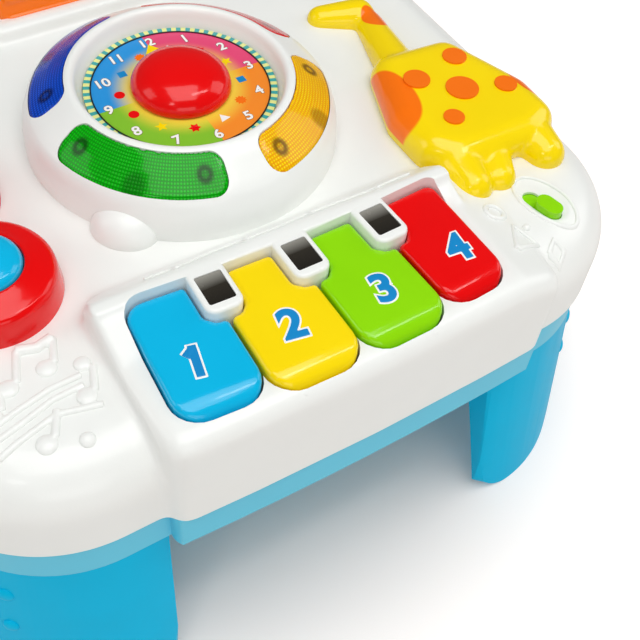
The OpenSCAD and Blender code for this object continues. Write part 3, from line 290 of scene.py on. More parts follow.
def plastic(name):
    """The material of a named finish, made once."""
    if name not in PLASTICS:
        c = colours()
        moulds = {
            "shell_white": ("shell_white_plastic", c.shell,
                            {"rough": 0.34, "coat": 0.25, "mottle": 0.03, "grain": 0.3, "grain_scale": 900}),
            "tray_blue": ("tray_blue_plastic", c.tray, {"rough": 0.38, "coat": 0.05, "shine": 0.2}),
            "leg_blue": ("leg_blue_plastic", c.leg, {"rough": 0.34, "coat": 0, "shine": 0.06}),
            "sky": ("sky_blue_plastic", c.sky, GLOSSY),
            "yellow": ("yellow_plastic", c.yellow, GLOSSY),
            "lime": ("lime_plastic", c.lime, GLOSSY),
            "red": ("red_plastic", c.red, GLOSSY),
            "orange": ("orange_plastic", c.orange, {"rough": 0.22, "coat": 0.2, "grain": 0.06}),
            "numeral_blue": ("numeral_ink_blue", c.numerals, {"grain": 0.1, "coat": 0.3}),
            "numeral_white": ("numeral_ink_white", linear(250, 250, 248), {"grain": 0.1, "coat": 0.3}),
            "brown_print": ("brown_ink", linear(120, 88, 40), {"rough": 0.4, "coat": 0.1}),
            "black_print": ("black_ink", linear(24, 22, 22), {"rough": 0.4, "coat": 0.2}),
            "circuit_board": ("board_green_resin", linear(30, 110, 52), {"rough": 0.35, "coat": 0.4, "mottle": 0.2}),
            "lamp_clear": ("lamp_clear_epoxy", linear(250, 250, 220), {"rough": 0.1, "coat": 0.9}),
            "pad_rubber": ("pad_grey_rubber", linear(150, 150, 148), {"rough": 0.75, "coat": 0, "grain": 0.5}),
            "inner_white": ("inner_white_plastic", linear(225, 222, 216), {"rough": 0.42, "coat": 0.1}),
            "dark_plastic": ("dark_grey_plastic", linear(52, 52, 55), {"rough": 0.45, "coat": 0.1}),
            "battery_wrap": ("battery_sleeve", linear(60, 62, 70), {"rough": 0.28, "coat": 0.5, "mottle": 0.15}),
        }
        lenses = {"lens_green": (c.lens_green, 225), "lens_amber": (c.lens_amber, 315),
                  "lens_blue": (c.lens_blue, 135), "lens_red": (c.lens_red, 45)}
        if name in moulds:
            title, colour, look = moulds[name]
            PLASTICS[name] = moulded(title, colour, **look)
        elif name in lenses:
            PLASTICS[name] = lens_plastic(name[5:] + "_lens_plastic", *lenses[name])
        elif name == "steel":
            PLASTICS[name] = metal("drawn_steel", linear(196, 198, 202), 0.32)
        else:
            PLASTICS[name] = {"giraffe_coat": giraffe_coat, "dark_inlay": inlay_dark,
                              "clock_print": clock_print}[name]()
    return PLASTICS[name]


# Mesh tools

def closed_mesh(name, bm, scale=1):
    """Ends a bmesh as a mesh."""
    mesh = bpy.data.meshes.new(name)
    bm.to_mesh(mesh)
    bm.free()
    if scale != 1:
        mesh.transform(Matrix.Scale(scale, 4))
    return mesh


def pour(bm, mesh):
    """Adds a mesh, which is then thrown away, to a bmesh."""
    bm.from_mesh(mesh)
    bpy.data.meshes.remove(mesh)


def join(bm, part):
    pour(bm, closed_mesh("part", part))


def settle(name, mesh, finish, body="table", smooth=35, replaced=()):
    """Makes a mesh a finished piece that rides on a body."""
    mesh.name = name
    piece = linked(name, mesh)
    mesh.materials.clear()
    mesh.materials.append(plastic(finish))
    mesh.shade_smooth()
    if smooth:
        mesh.set_sharp_from_angle(angle=math.radians(smooth))
    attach(piece, body)
    if replaced:
        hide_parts(*replaced)
    return piece


def place_piece(name, bm, finish, body="table", smooth=35, replaced=(), scale=MM):
    """Turns a bmesh drawn in millimetres into a finished piece."""
    return settle(name, closed_mesh(name, bm, scale), finish, body, smooth, replaced)


MOVING = ("key_1", "key_2", "key_3", "key_4", "clock_knob", "button_front", "button_back", "switch_slider", "roller")


def remould(node, bm, finish, smooth=35, scale=MM):
    """Turns a bmesh into the moulded form of a CAD node, on that node's body."""
    body = node if node in MOVING else "table"
    return place_piece(node + "_moulded", bm, finish, body, smooth, (node,), scale)


def linked(name, data):
    thing = bpy.data.objects.new(name, data)
    bpy.context.scene.collection.objects.link(thing)
    return thing


def scratch(name, bm, scale=1):
    """A working object that never becomes a piece."""
    return linked(name, closed_mesh(name, bm, scale))


def mesh_of(piece):
    """A working object's mesh; the object is gone."""
    mesh = piece.data
    bpy.data.objects.remove(piece)
    return mesh


def discard(piece):
    bpy.data.meshes.remove(mesh_of(piece))


def evaluated(thing):
    return bpy.data.meshes.new_from_object(thing.evaluated_get(bpy.context.evaluated_depsgraph_get()))


def curve_mesh(curve):
    """The mesh of a curve or of words, which are then thrown away."""
    holder = linked(curve.name, curve)
    mesh = evaluated(holder)
    bpy.data.objects.remove(holder)
    bpy.data.curves.remove(curve)
    return mesh


def bake(piece):
    """Applies a piece's modifiers to its mesh."""
    fresh = evaluated(piece)
    old = piece.data
    piece.modifiers.clear()
    piece.data = fresh
    fresh.name = piece.name
    bpy.data.meshes.remove(old)
    return piece


def modify(piece, kind, **settings):
    step = piece.modifiers.new(kind.lower(), kind)
    for key, value in settings.items():
        setattr(step, key, value)


def carve(piece, tool, operation="DIFFERENCE"):
    """Cuts a working object out of a piece, or joins the two, and throws the tool away."""
    modify(piece, "BOOLEAN", operation=operation, solver="MANIFOLD", object=tool)
    bake(piece)
    discard(tool)


def melt(piece, grid, rounds, keep=1):
    """The mesh of a working object, made one soft skin."""
    modify(piece, "REMESH", mode="VOXEL", voxel_size=grid, use_smooth_shade=True)
    modify(piece, "SMOOTH", factor=0.5, iterations=rounds)
    if keep < 1:
        modify(piece, "DECIMATE", ratio=keep)
    return mesh_of(bake(piece))


def sharpen(piece, degrees):
    piece.data.shade_smooth()
    piece.data.set_sharp_from_angle(angle=math.radians(degrees))


def surface_of(piece):
    """A piece's skin, for rays to be cast at."""
    mesh = piece.data
    return BVHTree.FromPolygons([v.co.copy() for v in mesh.vertices], [list(f.vertices) for f in mesh.polygons])


def move(x, y, z=0):
    return Matrix.Translation((x, y, z))


def turn_z(degrees):
    return Matrix.Rotation(math.radians(degrees), 4, "Z")


def stretch(x, y, z):
    return Matrix.Diagonal((x, y, z, 1))


def everything(bm):
    return list(bm.verts) + list(bm.edges) + list(bm.faces)


def only(kind, geometry):
    return [g for g in geometry if isinstance(g, kind)]


def add_plan(bm, corners):
    """A flat outline with rounded corners from (x, y, radius) rows; returns its face."""
    verts = [bm.verts.new((x, y, 0)) for x, y, _ in corners]
    face = bm.faces.new(verts)
    face.normal_update()
    if face.normal.z < 0:
        face.normal_flip()
    by_radius = {}
    for vert, (_, _, radius) in zip(verts, corners):
        if radius:
            by_radius.setdefault(radius, []).append(vert)
    for radius, group in by_radius.items():
        for vert in group:
            if not vert.is_valid:
                continue
            a, b = [e.other_vert(vert).co - vert.co for e in vert.link_edges]
            reach = radius / math.tan(a.angle(b) / 2)
            bmesh.ops.bevel(bm, geom=[vert], offset=reach, offset_type="OFFSET", segments=max(6, int(radius / 2)),
                            profile=0.5, affect="VERTICES", material=-1, clamp_overlap=False)
    return [f for f in bm.faces if all(abs(v.co.z) < 1e-6 for v in f.verts)][-1]


def raise_plan(bm, face, low, high):
    """Extrudes a flat outline into a closed block between two heights; returns its top face."""
    bmesh.ops.translate(bm, verts=face.verts, vec=(0, 0, low))
    grown = bmesh.ops.extrude_face_region(bm, geom=[face], use_keep_orig=True)
    top = only(bmesh.types.BMFace, grown["geom"])[0]
    bmesh.ops.translate(bm, verts=top.verts, vec=(0, 0, high - low))
    bmesh.ops.recalc_face_normals(bm, faces=bm.faces)
    bm.normal_update()
    return top


def block(corners, low, high, edge=0, steps=5):
    """A new bmesh with one block of an outline, its top edge rounded if wanted."""
    bm = bmesh.new()
    top = raise_plan(bm, add_plan(bm, corners), low, high)
    if edge:
        soften(bm, list(top.edges), edge, steps)
    return bm


def shave(bm, point, outward):
    """Cuts off what lies outward of a point, and closes the form again."""
    cut = bmesh.ops.bisect_plane(bm, geom=everything(bm), plane_co=point, clear_outer=True,
                                 plane_no=[v / math.hypot(*outward) for v in outward])
    bmesh.ops.holes_fill(bm, edges=only(bmesh.types.BMEdge, cut["geom_cut"]))
    bmesh.ops.recalc_face_normals(bm, faces=bm.faces)


def creases(bm, degrees, wanted):
    """Edges sharper than an angle with both ends in a wanted place."""
    return [e for e in bm.edges if e.calc_face_angle(0) > math.radians(degrees)
            and all(wanted(*v.co) for v in e.verts)]


def soften(bm, edges, radius, segments):
    """Rounds edges over."""
    bmesh.ops.bevel(bm, geom=edges, offset=radius, offset_type="OFFSET", segments=segments, profile=0.5,
                    affect="EDGES", material=-1, clamp_overlap=True)


def turned(bm, profile, steps=96, centre=(0, 0, 0), closed=True):
    """Spins a profile of (radius, height) rows round a vertical axis."""
    verts = [bm.verts.new((centre[0] + r, centre[1], centre[2] + z)) for r, z in profile]
    rows = list(zip(verts, verts[1:])) + ([(verts[-1], verts[0])] if closed else [])
    edges = [bm.edges.new(pair) for pair in rows]
    bmesh.ops.spin(bm, geom=verts + edges, cent=centre, axis=(0, 0, 1), angle=2 * math.pi, steps=steps,
                   use_merge=True, use_duplicate=False)
    bmesh.ops.remove_doubles(bm, verts=bm.verts, dist=0.001)
    bmesh.ops.recalc_face_normals(bm, faces=bm.faces)


def add_pebble(bm, radius, height, matrix):
    """Adds a round bump, wider than it is high."""
    bmesh.ops.create_icosphere(bm, subdivisions=4, radius=1, matrix=matrix @ stretch(radius, radius, height))


def add_ball(bm, radii, at, around=64, up=48):
    bmesh.ops.create_uvsphere(bm, u_segments=around, v_segments=up, radius=1)
    bmesh.ops.scale(bm, verts=bm.verts, vec=radii)
    bmesh.ops.translate(bm, verts=bm.verts, vec=at)


def add_rod(bm, points, width):
    """Adds a round rod along (x, y) points."""
    path = bpy.data.curves.new("path", "CURVE")
    path.dimensions = "3D"
    spline = path.splines.new("POLY")
    spline.points.add(len(points) - 1)
    for spot, (x, y) in zip(spline.points, points):
        spot.co = (x, y, 0, 1)
    path.bevel_depth = width
    path.bevel_resolution = 3
    path.use_fill_caps = True
    pour(bm, curve_mesh(path))


def lettering(text, size, grow, fine=0.22, flag=False):
    """A number as soft figures one unit high, its middle at the origin, in millimetres."""
    words = bpy.data.curves.new("lettering", "FONT")
    words.body = text
    words.size = size
    words.align_x, words.align_y = "CENTER", "CENTER"
    words.extrude = 0.9
    words.bevel_depth = grow
    words.bevel_resolution = 2
    bm = bmesh.new()
    pour(bm, curve_mesh(words))
    if flag:  # the sloping stroke at the top of a 1
        tall = max(v.co.y for v in bm.verts) - grow
        add_rod(bm, [(-0.4, tall - 1.3), (-3.4, tall - 4.2)], 1.2 + grow)
    mesh = melt(scratch("lettering", bm), fine, 5, 0.4)
    mesh.transform(stretch(1, 1, 1 / max(v.co.z for v in mesh.vertices)))
    return mesh


def add_numeral(name, number, at, size, layers, body="table", fine=0.22, flag=False):
    """Puts a number on a surface as thin layers of (name, finish, growth, height)."""
    for layer, finish, grow, lift in layers:
        mesh = lettering(str(number), size, grow, fine, flag)
        mesh.transform(at @ stretch(MM, MM, lift * MM))
        settle("%s_%s" % (name, layer), mesh, finish, body, smooth=30)


def arc(centre, radius, start, end, steps):
    angles = [math.radians(start + (end - start) * k / steps) for k in range(steps + 1)]
    return [(centre[0] + radius * math.cos(t), centre[1] + radius * math.sin(t)) for t in angles]


def rectangle(left, front, right, back, radius):
    return [(x, y, radius) for x, y in ((left, front), (right, front), (right, back), (left, back))]


def pill(length, width):
    """Outline rows of a bar with round ends."""
    x, y = length / 2, width / 2
    return rectangle(-x, -y, x, y, y - 0.01)


def cad_copy(node):
    """A merged copy of a CAD node's mesh."""
    bm = bmesh.new()
    bm.from_mesh(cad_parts[node].data)
    bmesh.ops.remove_doubles(bm, verts=bm.verts, dist=0.00001)
    return bm


def softened(node, name, finish, body="table", grid=0.0008):
    """Moulded version of a CAD node: the same form with every edge softened."""
    settle(name, melt(scratch(name, cad_copy(node)), grid, 5), finish, body, smooth=0, replaced=(node,))


def eased(node, finish, width, wanted):
    """Copy of a CAD node with its wanted sharp edges slightly rounded."""
    bm = cad_copy(node)
    bmesh.ops.dissolve_limit(bm, angle_limit=math.radians(0.6), verts=bm.verts, edges=bm.edges)
    bm.normal_update()
    soften(bm, creases(bm, 32, wanted), width, 3)
    piece = remould(node, bm, finish, 30, 1)
    modify(piece, "WEIGHTED_NORMAL", keep_sharp=True, weight=80)
    return bake(piece)


# The keys' layout

FAN = 2.4  # degrees from one key to the next
FRONT_Y = -124.25  # where the keys' pitch of 40 mm is measured
FAN_Y = FRONT_Y + 40 / math.tan(math.radians(FAN))  # the keys' far centre
KEY_BACK = -95.4
KEY_FOOT, KEY_TOP = 168, 182
KEY_COLOURS = ("sky", "yellow", "lime", "red")


def fan(turn):
    """Turns a drawing about the keys' far centre."""
    return move(0, FAN_Y) @ turn_z(turn) @ move(0, -FAN_Y)


def key_turn(i):
    return (i - 1.5) * FAN


def key_half(i, side, y):
    """Distance from a key's middle to one of its sides at y; the outer keys' outer sides run differently."""
    base, lean = 19.3, FAN / 2
    if side < 0 and i == 0:
        base, lean = 16.5, 0
    elif side > 0 and i == 3:
        base, lean = 14.0, -key_turn(3)
    return base + (FRONT_Y - y) * math.tan(math.radians(lean))


def key_corners(i, grow=0.0):
    """Outline rows (x, y, radius) of a key before it is turned in the fan."""
    front = -154 - grow - (2.5 if i in (1, 2) else 0)
    rows = []
    for side in (1, -1):
        half = [(side * (key_half(i, side, front) + grow), front, 11.5 + grow)]
        notch = (side > 0 and i < 3) or (side < 0 and i > 0)
        if notch and not grow:
            turn = fan(side * FAN / 2)
            edge_y = -116.9
            corner = [turn @ Vector((-side * x, y, 0)) for x, y in ((5.2, edge_y), (9.2, -112.9), (9.2, KEY_BACK))]
            half.append((side * key_half(i, side, edge_y), edge_y, 0))
            half += [(corner[0].x, corner[0].y, 0), (corner[1].x, corner[1].y, 0), (corner[2].x, KEY_BACK, 0)]
        else:
            back = 0 if notch else (8.5 if i == 0 else 4.5) + grow
            half.append((side * (key_half(i, side, KEY_BACK) + grow), KEY_BACK + grow, back))
        rows.append(half)
    return rows[0] + rows[1][::-1]


def key_block(i, grow, low, high):
    """A block of a key's grown outline, in its place in the fan."""
    part = block(key_corners(i, grow), low, high)
    bmesh.ops.transform(part, matrix=fan(key_turn(i)), verts=part.verts)
    return part


SLIDE_TURN = -78
DISH = (123.4, -117.8)  # middle of the shallow dish round the slide switch
BUTTONS = (("button_front", -113, -51.5), ("button_back", -117.5, 5))


def at_switch(x=120.5, y=-119):
    """Puts a drawing where the slide switch is, turned the way it slides."""
    return move(x, y) @ turn_z(SLIDE_TURN)


# Operators

class TABLE_OT_shell(bpy.types.Operator):
    """The moulded white shell: table, block, ridge and roller surround in one soft skin"""
    bl_idname = "table.shell"
    bl_label = "Moulded shell"

    def execute(self, context):
        skin = scratch("table_shell", self.form(), MM)
        modify(skin, "REMESH", mode="VOXEL", voxel_size=sizes().skin_grid, use_smooth_shade=True)
        bake(skin)
        # Trough of the roller
        part = bmesh.new()
        turned(part, [(0, -47.6), (17.6, -47.6), (17.6, 47.6), (0, 47.6)], 64, closed=False)
        bmesh.ops.rotate(part, verts=part.verts, matrix=Matrix.Rotation(math.pi / 2, 3, "Y"))
        bmesh.ops.translate(part, verts=part.verts, vec=(0, 118, 174))
        carve(skin, scratch("trough", part, MM))
        modify(skin, "SMOOTH", factor=0.5, iterations=10)
        bake(skin)
        solid = linked("solid", skin.data.copy())
        # Only the walls stay of the solid form
        bm = bmesh.new()
        bm.from_mesh(skin.data)
        bmesh.ops.bisect_plane(bm, geom=everything(bm), plane_co=(0, 0, 0.125), plane_no=(0, 0, -1), clear_outer=True)
        bm.to_mesh(skin.data)
        bm.free()
        modify(skin, "DECIMATE", ratio=0.42)
        modify(skin, "SOLIDIFY", thickness=sizes().skin_wall, offset=-1, use_rim=True, use_quality_normals=True)
        bake(skin)
        # Walls that stand down round the key windows
        for i in range(4):
            well = scratch("well_%d" % i, key_block(i, 2.7, 166, 200), MM)
            modify(well, "BOOLEAN", operation="INTERSECT", solver="MANIFOLD", object=solid)
            bake(well)
            carve(skin, well, "UNION")
        discard(solid)
        # Openings for the keys and the switch
        for i in range(4):
            carve(skin, scratch("key_window_%d" % i, key_block(i, 0.9, 160, 200), MM))
        slot = block(pill(21, 9), 160, 180)
        slot.transform(at_switch())
        carve(skin, scratch("switch_slot", slot, MM))
        dish = bmesh.new()
        add_ball(dish, (18.6, 10.6, 3), (0, 0, 171.5))
        dish.transform(at_switch(*DISH))
        carve(skin, scratch("switch_dish", dish, MM))
        settle("table_shell", mesh_of(skin), "shell_white", smooth=48, replaced=("top_shell",))
        self.frames()
        return {"FINISHED"}

    @staticmethod
    def form():
        """The outer form in sharp blocks, in millimetres."""
        # Table with its deep round shoulder
        bm = block(rectangle(-171, -153, 171, 153, 66), 112, TOP, 24, 10)
        # Block under the keys; its right end slopes down
        part = block([(-87, -159.6, 9), (-50, -161.1, 0), (7.75, -162, 0), (65, -161.1, 0), (102.5, -159.6, 9),
                      (102.5, -84, 0), (-87, -84, 0)], 112, 178.5)
        shave(part, (79, 0, 178.5), (8.5, 0, 24.6))
        soften(part, creases(part, 35, lambda x, y, z: z > 168 and y < -90), 8, 6)
        join(bm, part)
        # Ramps from the ridge's ends down to the strips beside the first and the last key
        for left, right, front, run in ((-86.5, -70, -124, 28), (70, 83.6, -110, 15)):
            part = block([(left, -90, 0), (left, front, 3.5 if left < 0 else 0),
                          (right, front, 0 if left < 0 else 3.5), (right, -90, 0)], 165, 184.4)
            shave(part, (0, -93, 184.6), (0, -7.2, run))
            soften(part, creases(part, 25, lambda x, y, z: z > 175 and abs(x) > 79), 2.6, 5)
            join(bm, part)
        # Ridge behind the keys
        part = block([(-86.9, -94.5, 0), (83.4, -94.5, 0), (83.4, -72.5, 9), (-86.9, -72.5, 17)], 160, 186)
        shave(part, (0, -88.5, 186), (0, 15, 15.5))
        soften(part, creases(part, 25, lambda x, y, z: z > 168 and y > -94), 2.6, 5)
        join(bm, part)
        # Roller surround
        join(bm, block(rectangle(-56.6, 93.4, 56.6, 142.6, 9), 160, 177, 3))
        return bm

    @staticmethod
    def frames():
        """White frames of the dark keys."""
        bm, pockets = bmesh.new(), bmesh.new()
        for i in range(3):
            turn = fan((i - 1) * FAN)
            part = bmesh.new()
            outline = [(-8.3, -93.6, 0), (-8.3, -116, 4.8), (8.3, -116, 4.8), (8.3, -93.6, 0)]
            top = raise_plan(part, add_plan(part, outline), 173, 186)
            soften(part, [e for e in top.edges if min(v.co.y for v in e.verts) < -95], 1.6, 4)
            part.transform(turn)
            join(bm, part)
            part = block(rectangle(-5.85, -111.9, 5.85, -96.7, 1), 184.8, 190)
            part.transform(turn)
            join(pockets, part)
        piece = place_piece("dark_key_frames", bm, "shell_white", replaced=("top_shell",))
        carve(piece, scratch("pockets", pockets, MM))
        sharpen(piece, 35)


class TABLE_OT_reliefs(bpy.types.Operator):
    """Soft raised patterns on the shell: notes and lines at the left, shapes at the right, a line on the ridge"""
    bl_idname = "table.reliefs"
    bl_label = "Shell reliefs"

    def execute(self, context):
        tree = surface_of(bpy.data.objects["table_shell"])
        notes = [((-124, -99), 4.2), ((-108, -97), 4.2), ((-100, -116), 4.2), ((-121, -128), 4.2),
                 ((-95.5, -101.5), 3.6), ((-107.5, -133), 3.2), ((-133, -108), 3.4)]
        lines = [([(-120.3, -98), (-115, -84)], 1.5), ([(-104.4, -96), (-100.4, -84.5)], 1.5),
                 ([(-115, -84), (-107.6, -86.4), (-100.4, -84.5)], 2.2), ([(-96.4, -115), (-92.2, -104)], 1.5),
                 ([(-117.4, -127), (-112, -116)], 1.5), ([(-129.6, -107), (-126.6, -96)], 1.5),
                 ([(-137, -113), (-124, -109.5), (-111, -106.5), (-98, -106)], 1.3),
                 ([(-138.5, -119), (-125, -115.5), (-112, -111.5), (-99, -110.5)], 1.3),
                 ([(-138, -125), (-126, -121.5), (-113, -118), (-96, -122)], 1.3)]
        self.lay(tree, "relief_notes", notes, lines)
        lines = [([(89, -138), (98, -124.5), (103, -137), (89, -138)], 1.4),
                 (self.oval(95.5, -114.5, 4.4, 4.4, 0), 1.3),
                 ([(106.5, -142), (112, -137.5), (115, -143), (109.5, -147.4), (106.5, -142)], 1.3),
                 (self.oval(*DISH, 17.6, 10.2, SLIDE_TURN), 1.0)]
        self.lay(tree, "relief_shapes", [((104.5, -127), 2.0)], lines)
        wave = [(-60 + 6.5 * k, -82.8 - 1.2 * math.sin(k * 0.9)) for k in range(21)]
        self.lay(tree, "relief_ridge", [((x, y - 1.6), 1.7) for x, y in wave[2::5]], [(wave, 1.2)])
        return {"FINISHED"}

    @staticmethod
    def oval(x, y, a, b, turn):
        rows = [(a * math.cos(t * math.pi / 16), b * math.sin(t * math.pi / 16)) for t in range(33)]
        c, n = math.cos(math.radians(turn)), math.sin(math.radians(turn))
        return [(x + c * p - n * q, y + n * p + c * q) for p, q in rows]

    @staticmethod
    def lay(tree, name, dots, lines):
        """Joins flat knobs and rounded lines, softens them and lays them on the skin."""
        bm = bmesh.new()
        for (x, y), radius in dots:
            add_pebble(bm, radius, 1.9, move(x, y))
        for points, width in lines:
            add_rod(bm, points, width * 1.15)
        mesh = melt(scratch(name, bm), 0.42, 4, 0.4)
        for v in mesh.vertices:
            spot = tree.ray_cast(Vector((v.co.x * MM, v.co.y * MM, 0.25)), Vector((0, 0, -1)))[0]
            v.co = (spot.x, spot.y, spot.z + v.co.z * MM)
        settle(name, mesh, "shell_white", smooth=0)


class TABLE_OT_keys(bpy.types.Operator):
    """The four glossy keys"""
    bl_idname = "table.keys"
    bl_label = "Keys"

    def execute(self, context):
        edge, dip = sizes().key_edge / MM, sizes().key_dip / MM
        for i, finish in enumerate(KEY_COLOURS):
            bm = bmesh.new()
            top = raise_plan(bm, add_plan(bm, key_corners(i)), KEY_FOOT, KEY_TOP)
            front = min(v.co.y for v in top.verts)
            uprights = [e for e in bm.edges if abs(e.verts[0].co.z - e.verts[1].co.z) > 10
                        and e.calc_face_angle(0) > math.radians(30)]
            soften(bm, list(top.edges) + uprights, edge, 6)
            self.hollow(bm)
            # Round the front down: cut across in steps, then lower each step
            for step in (0.4, 0.9, 1.5, 2.2, 3, 3.9, 4.9, 6, 7.2, 8.4, 9.6):
                bmesh.ops.bisect_plane(bm, geom=everything(bm), plane_co=(0, front + step, 0), plane_no=(0, 1, 0))
            for v in bm.verts:
                depth = min(dip, max(0.0, v.co.y - front))
                drop = 0.8 * (dip - math.sqrt(2 * dip * depth - depth * depth))
                v.co.z = KEY_FOOT + (v.co.z - KEY_FOOT) * (1 - drop / (KEY_TOP - KEY_FOOT))
            bm.transform(fan(key_turn(i)))
            remould("key_%d" % (i + 1), bm, finish, 40)
        return {"FINISHED"}

    @staticmethod
    def hollow(bm, wall=2.0, depth=11):
        bm.normal_update()
        bottom = max((f for f in bm.faces if f.normal.z < -0.99), key=lambda f: f.calc_area())
        bmesh.ops.inset_region(bm, faces=[bottom], thickness=wall, use_even_offset=True)
        pushed = bmesh.ops.extrude_face_region(bm, geom=[bottom])
        roof = only(bmesh.types.BMFace, pushed["geom"])
        bmesh.ops.translate(bm, verts=list({v for f in roof for v in f.verts}), vec=(0, 0, depth))
        bmesh.ops.delete(bm, geom=[bottom], context="FACES_ONLY")


class TABLE_OT_key_marks(bpy.types.Operator):
    """Raised numerals on the keys, blue on a white outline"""
    bl_idname = "table.key_marks"
    bl_label = "Key numerals"

    def execute(self, context):
        size = sizes().numeral_height / MM * 1.32  # a figure is three quarters as high as its font size
        layers = (("rim", "numeral_white", 1.5, 0.16), ("fill", "numeral_blue", 0.75, 0.3))
        for i, (x, y) in enumerate(((-61, -129.5), (-20.6, -131.4), (21.3, -133.4), (61.4, -129.8))):
            key = "key_%d" % (i + 1)
            at = move(x * MM, y * MM, KEY_TOP * MM) @ turn_z(key_turn(i) - 9)
            add_numeral(key + "_numeral", i + 1, at, size, layers, key, flag=i == 0)
        return {"FINISHED"}


class TABLE_OT_dome(bpy.types.Operator):
    """The white dome round the clock, with windows for the lenses and its round foot"""
    bl_idname = "table.dome"
    bl_label = "Clock dome"

    def execute(self, context):
        bm = bmesh.new()
        turned(bm, [(71.5, 170), (71.5, 176), (71.2, 180), (70.5, 183.6), (69.5, 186.6), (68.3, 189.2),
                    (67.0, 190.8), (63, 193.5), (57, 197.6), (51, 201.7), (49.8, 202.3), (48.8, 202.5),
                    (47.8, 202.3), (46.9, 201.6), (46.2, 200.4), (45.7, 198.8), (44.9, 196.6), (43.6, 193.9),
                    (43.4, 192.4), (38.2, 192.4), (38.2, 190), (48.2, 190), (49, 198.2), (51, 198.6),
                    (66.4, 187.6), (69.1, 182), (69.1, 170)], 144)
        dome = remould("clock_dome", bm, "shell_white")
        windows = bmesh.new()
        for turn in (225, 315, 135, 45):
            part = self.lens_prism(0.2, 178, 206)
            part.transform(turn_z(turn))
            join(windows, part)
        carve(dome, scratch("windows", windows, MM))
        sharpen(dome, 40)
        # Round foot at the front left
        bm = bmesh.new()
        add_ball(bm, (12, 15, 12.4), (68.9, 0, 170.2), 56, 32)
        bm.transform(turn_z(-138))
        shave(bm, (0, 0, TOP - 0.1), (0, 0, -1))
        place_piece("dome_foot", bm, "shell_white", replaced=("clock_dome",))
        return {"FINISHED"}

    @staticmethod
    def lens_prism(grow, low, high):
        """A lens's outline about the X axis, extruded."""
        r, inner, outer = 6 + grow, 51 - grow, 67 + grow
        half = 36 + grow / 118 * 114.6
        a = half - math.degrees(math.asin(r / (inner + r)))
        b = half - math.degrees(math.asin(r / (outer - r)))
        (ix, iy), (ox, oy) = arc((0, 0), inner + r, a, a, 1)[0], arc((0, 0), outer - r, b, b, 1)[0]
        rows = arc((0, 0), outer, -b, b, 22) + arc((ox, oy), r, b, half + 90, 6)[1:]
        rows += arc((ix, iy), r, half + 90, a + 180, 6)[:-1] + arc((0, 0), inner, a, -a, 16)
        rows += arc((ix, -iy), r, -a - 180, -half - 90, 6)[1:] + arc((ox, -oy), r, -half - 90, -b, 6)[:-1]
        return block([(x, y, 0) for x, y in rows], low, high)


class TABLE_OT_lenses(bpy.types.Operator):
    """Four tinted lenses with soft edges"""
    bl_idname = "table.lenses"
    bl_label = "Lenses"

    def execute(self, context):
        for tone in ("green", "amber", "red", "blue"):
            softened("lens_" + tone, "lens_%s_clear" % tone, "lens_" + tone, grid=0.0007)
        return {"FINISHED"}


class TABLE_OT_clock(bpy.types.Operator):
    """The dial's numerals and motifs, and its knob"""
    bl_idname = "table.clock"
    bl_label = "Clock"

    def execute(self, context):
        ring, face_z = 34.8, 194
        layers = (("rim", "brown_print", 0.42, 0.05), ("fill", "numeral_white", 0.2, 0.09))
        for hour in range(1, 13):
            turn = math.radians(90 - 30 * hour)
            at = move(ring * MM * math.cos(turn), ring * MM * math.sin(turn), face_z * MM)
            add_numeral("clock_numeral_%d" % hour, hour, at, 7.6, layers, fine=0.11)
        # Small printed motifs between the numerals and the knob
        motifs = (("star", 10, 3.0, 0.45, "yellow"), ("ball", 24, 2.4, 1, "red"),
                  ("tile", 4, 2.7, 1, "numeral_blue"), ("sun", 20, 2.9, 0.7, "orange"),
                  ("tent", 3, 2.9, 1, "numeral_white"), ("flower", 12, 2.8, 0.6, "red"))
        ring = 27.6
        for k in range(12):
            name, sides, radius, dent, finish = motifs[(k * 5 + k // 6) % 6]
            bm = bmesh.new()
            bmesh.ops.create_circle(bm, cap_ends=True, segments=sides, radius=radius)
            for v in list(bm.verts)[::2]:
                v.co *= dent
            raise_plan(bm, bm.faces[:][0], face_z - 0.02, face_z + 0.06)
            turn = 30 * k + 15
            bm.transform(turn_z(turn) @ move(ring, 0) @ turn_z(2 * turn))
            place_piece("clock_motif_%d_%s" % (k + 1, name), bm, finish, smooth=30)
        bm = bmesh.new()
        turned(bm, [(0, 207.6), (4, 207.45), (8, 207.0), (12, 206.1), (15.5, 204.8), (18.3, 203.0), (20.4, 201.0),
                    (21.8, 198.8), (22.4, 196.8), (22.5, 195.6), (22.3, 194.9), (21.7, 194.6), (18, 194.6),
                    (18, 198), (8, 199), (7.6, 194.6), (4, 194.6), (4, 199.2), (0, 199.2)], 96, closed=False)
        remould("clock_knob", bm, "red", 50)
        return {"FINISHED"}


class TABLE_OT_buttons(bpy.types.Operator):
    """Two push buttons in their red housings"""
    bl_idname = "table.buttons"
    bl_label = "Push buttons"

    def execute(self, context):
        bm = bmesh.new()
        for _, x, y in BUTTONS:
            turned(bm, [(29.5, 170), (29.4, 171.5), (29.1, 174), (28.7, 177), (28.3, 179.8), (27.9, 181.4),
                        (27.2, 182.6), (26.2, 183.4), (24.9, 183.9), (23, 184.5), (20.5, 185.3), (18.2, 186.2),
                        (17.2, 186.7), (16.6, 186.9), (16.15, 186.7), (16, 186.2), (16, 184.2), (20, 182.4),
                        (24, 180), (25.8, 176), (26.9, 170)], 96, centre=(x, y, 0))
        remould("button_housing", bm, "red", 50)
        for name, x, y in BUTTONS:
            bm = bmesh.new()
            turned(bm, [(0, 192), (5, 191.8), (9, 191.3), (12, 190.5), (14, 189.4), (15, 188.2), (15.5, 186.8),
                        (15.5, 183.1), (17.8, 183.1), (17.8, 181.2), (4, 181.2), (4, 180.95), (0, 180.95)], 80,
                   centre=(x, y, 0), closed=False)
            remould(name, bm, "sky", 50)
        return {"FINISHED"}


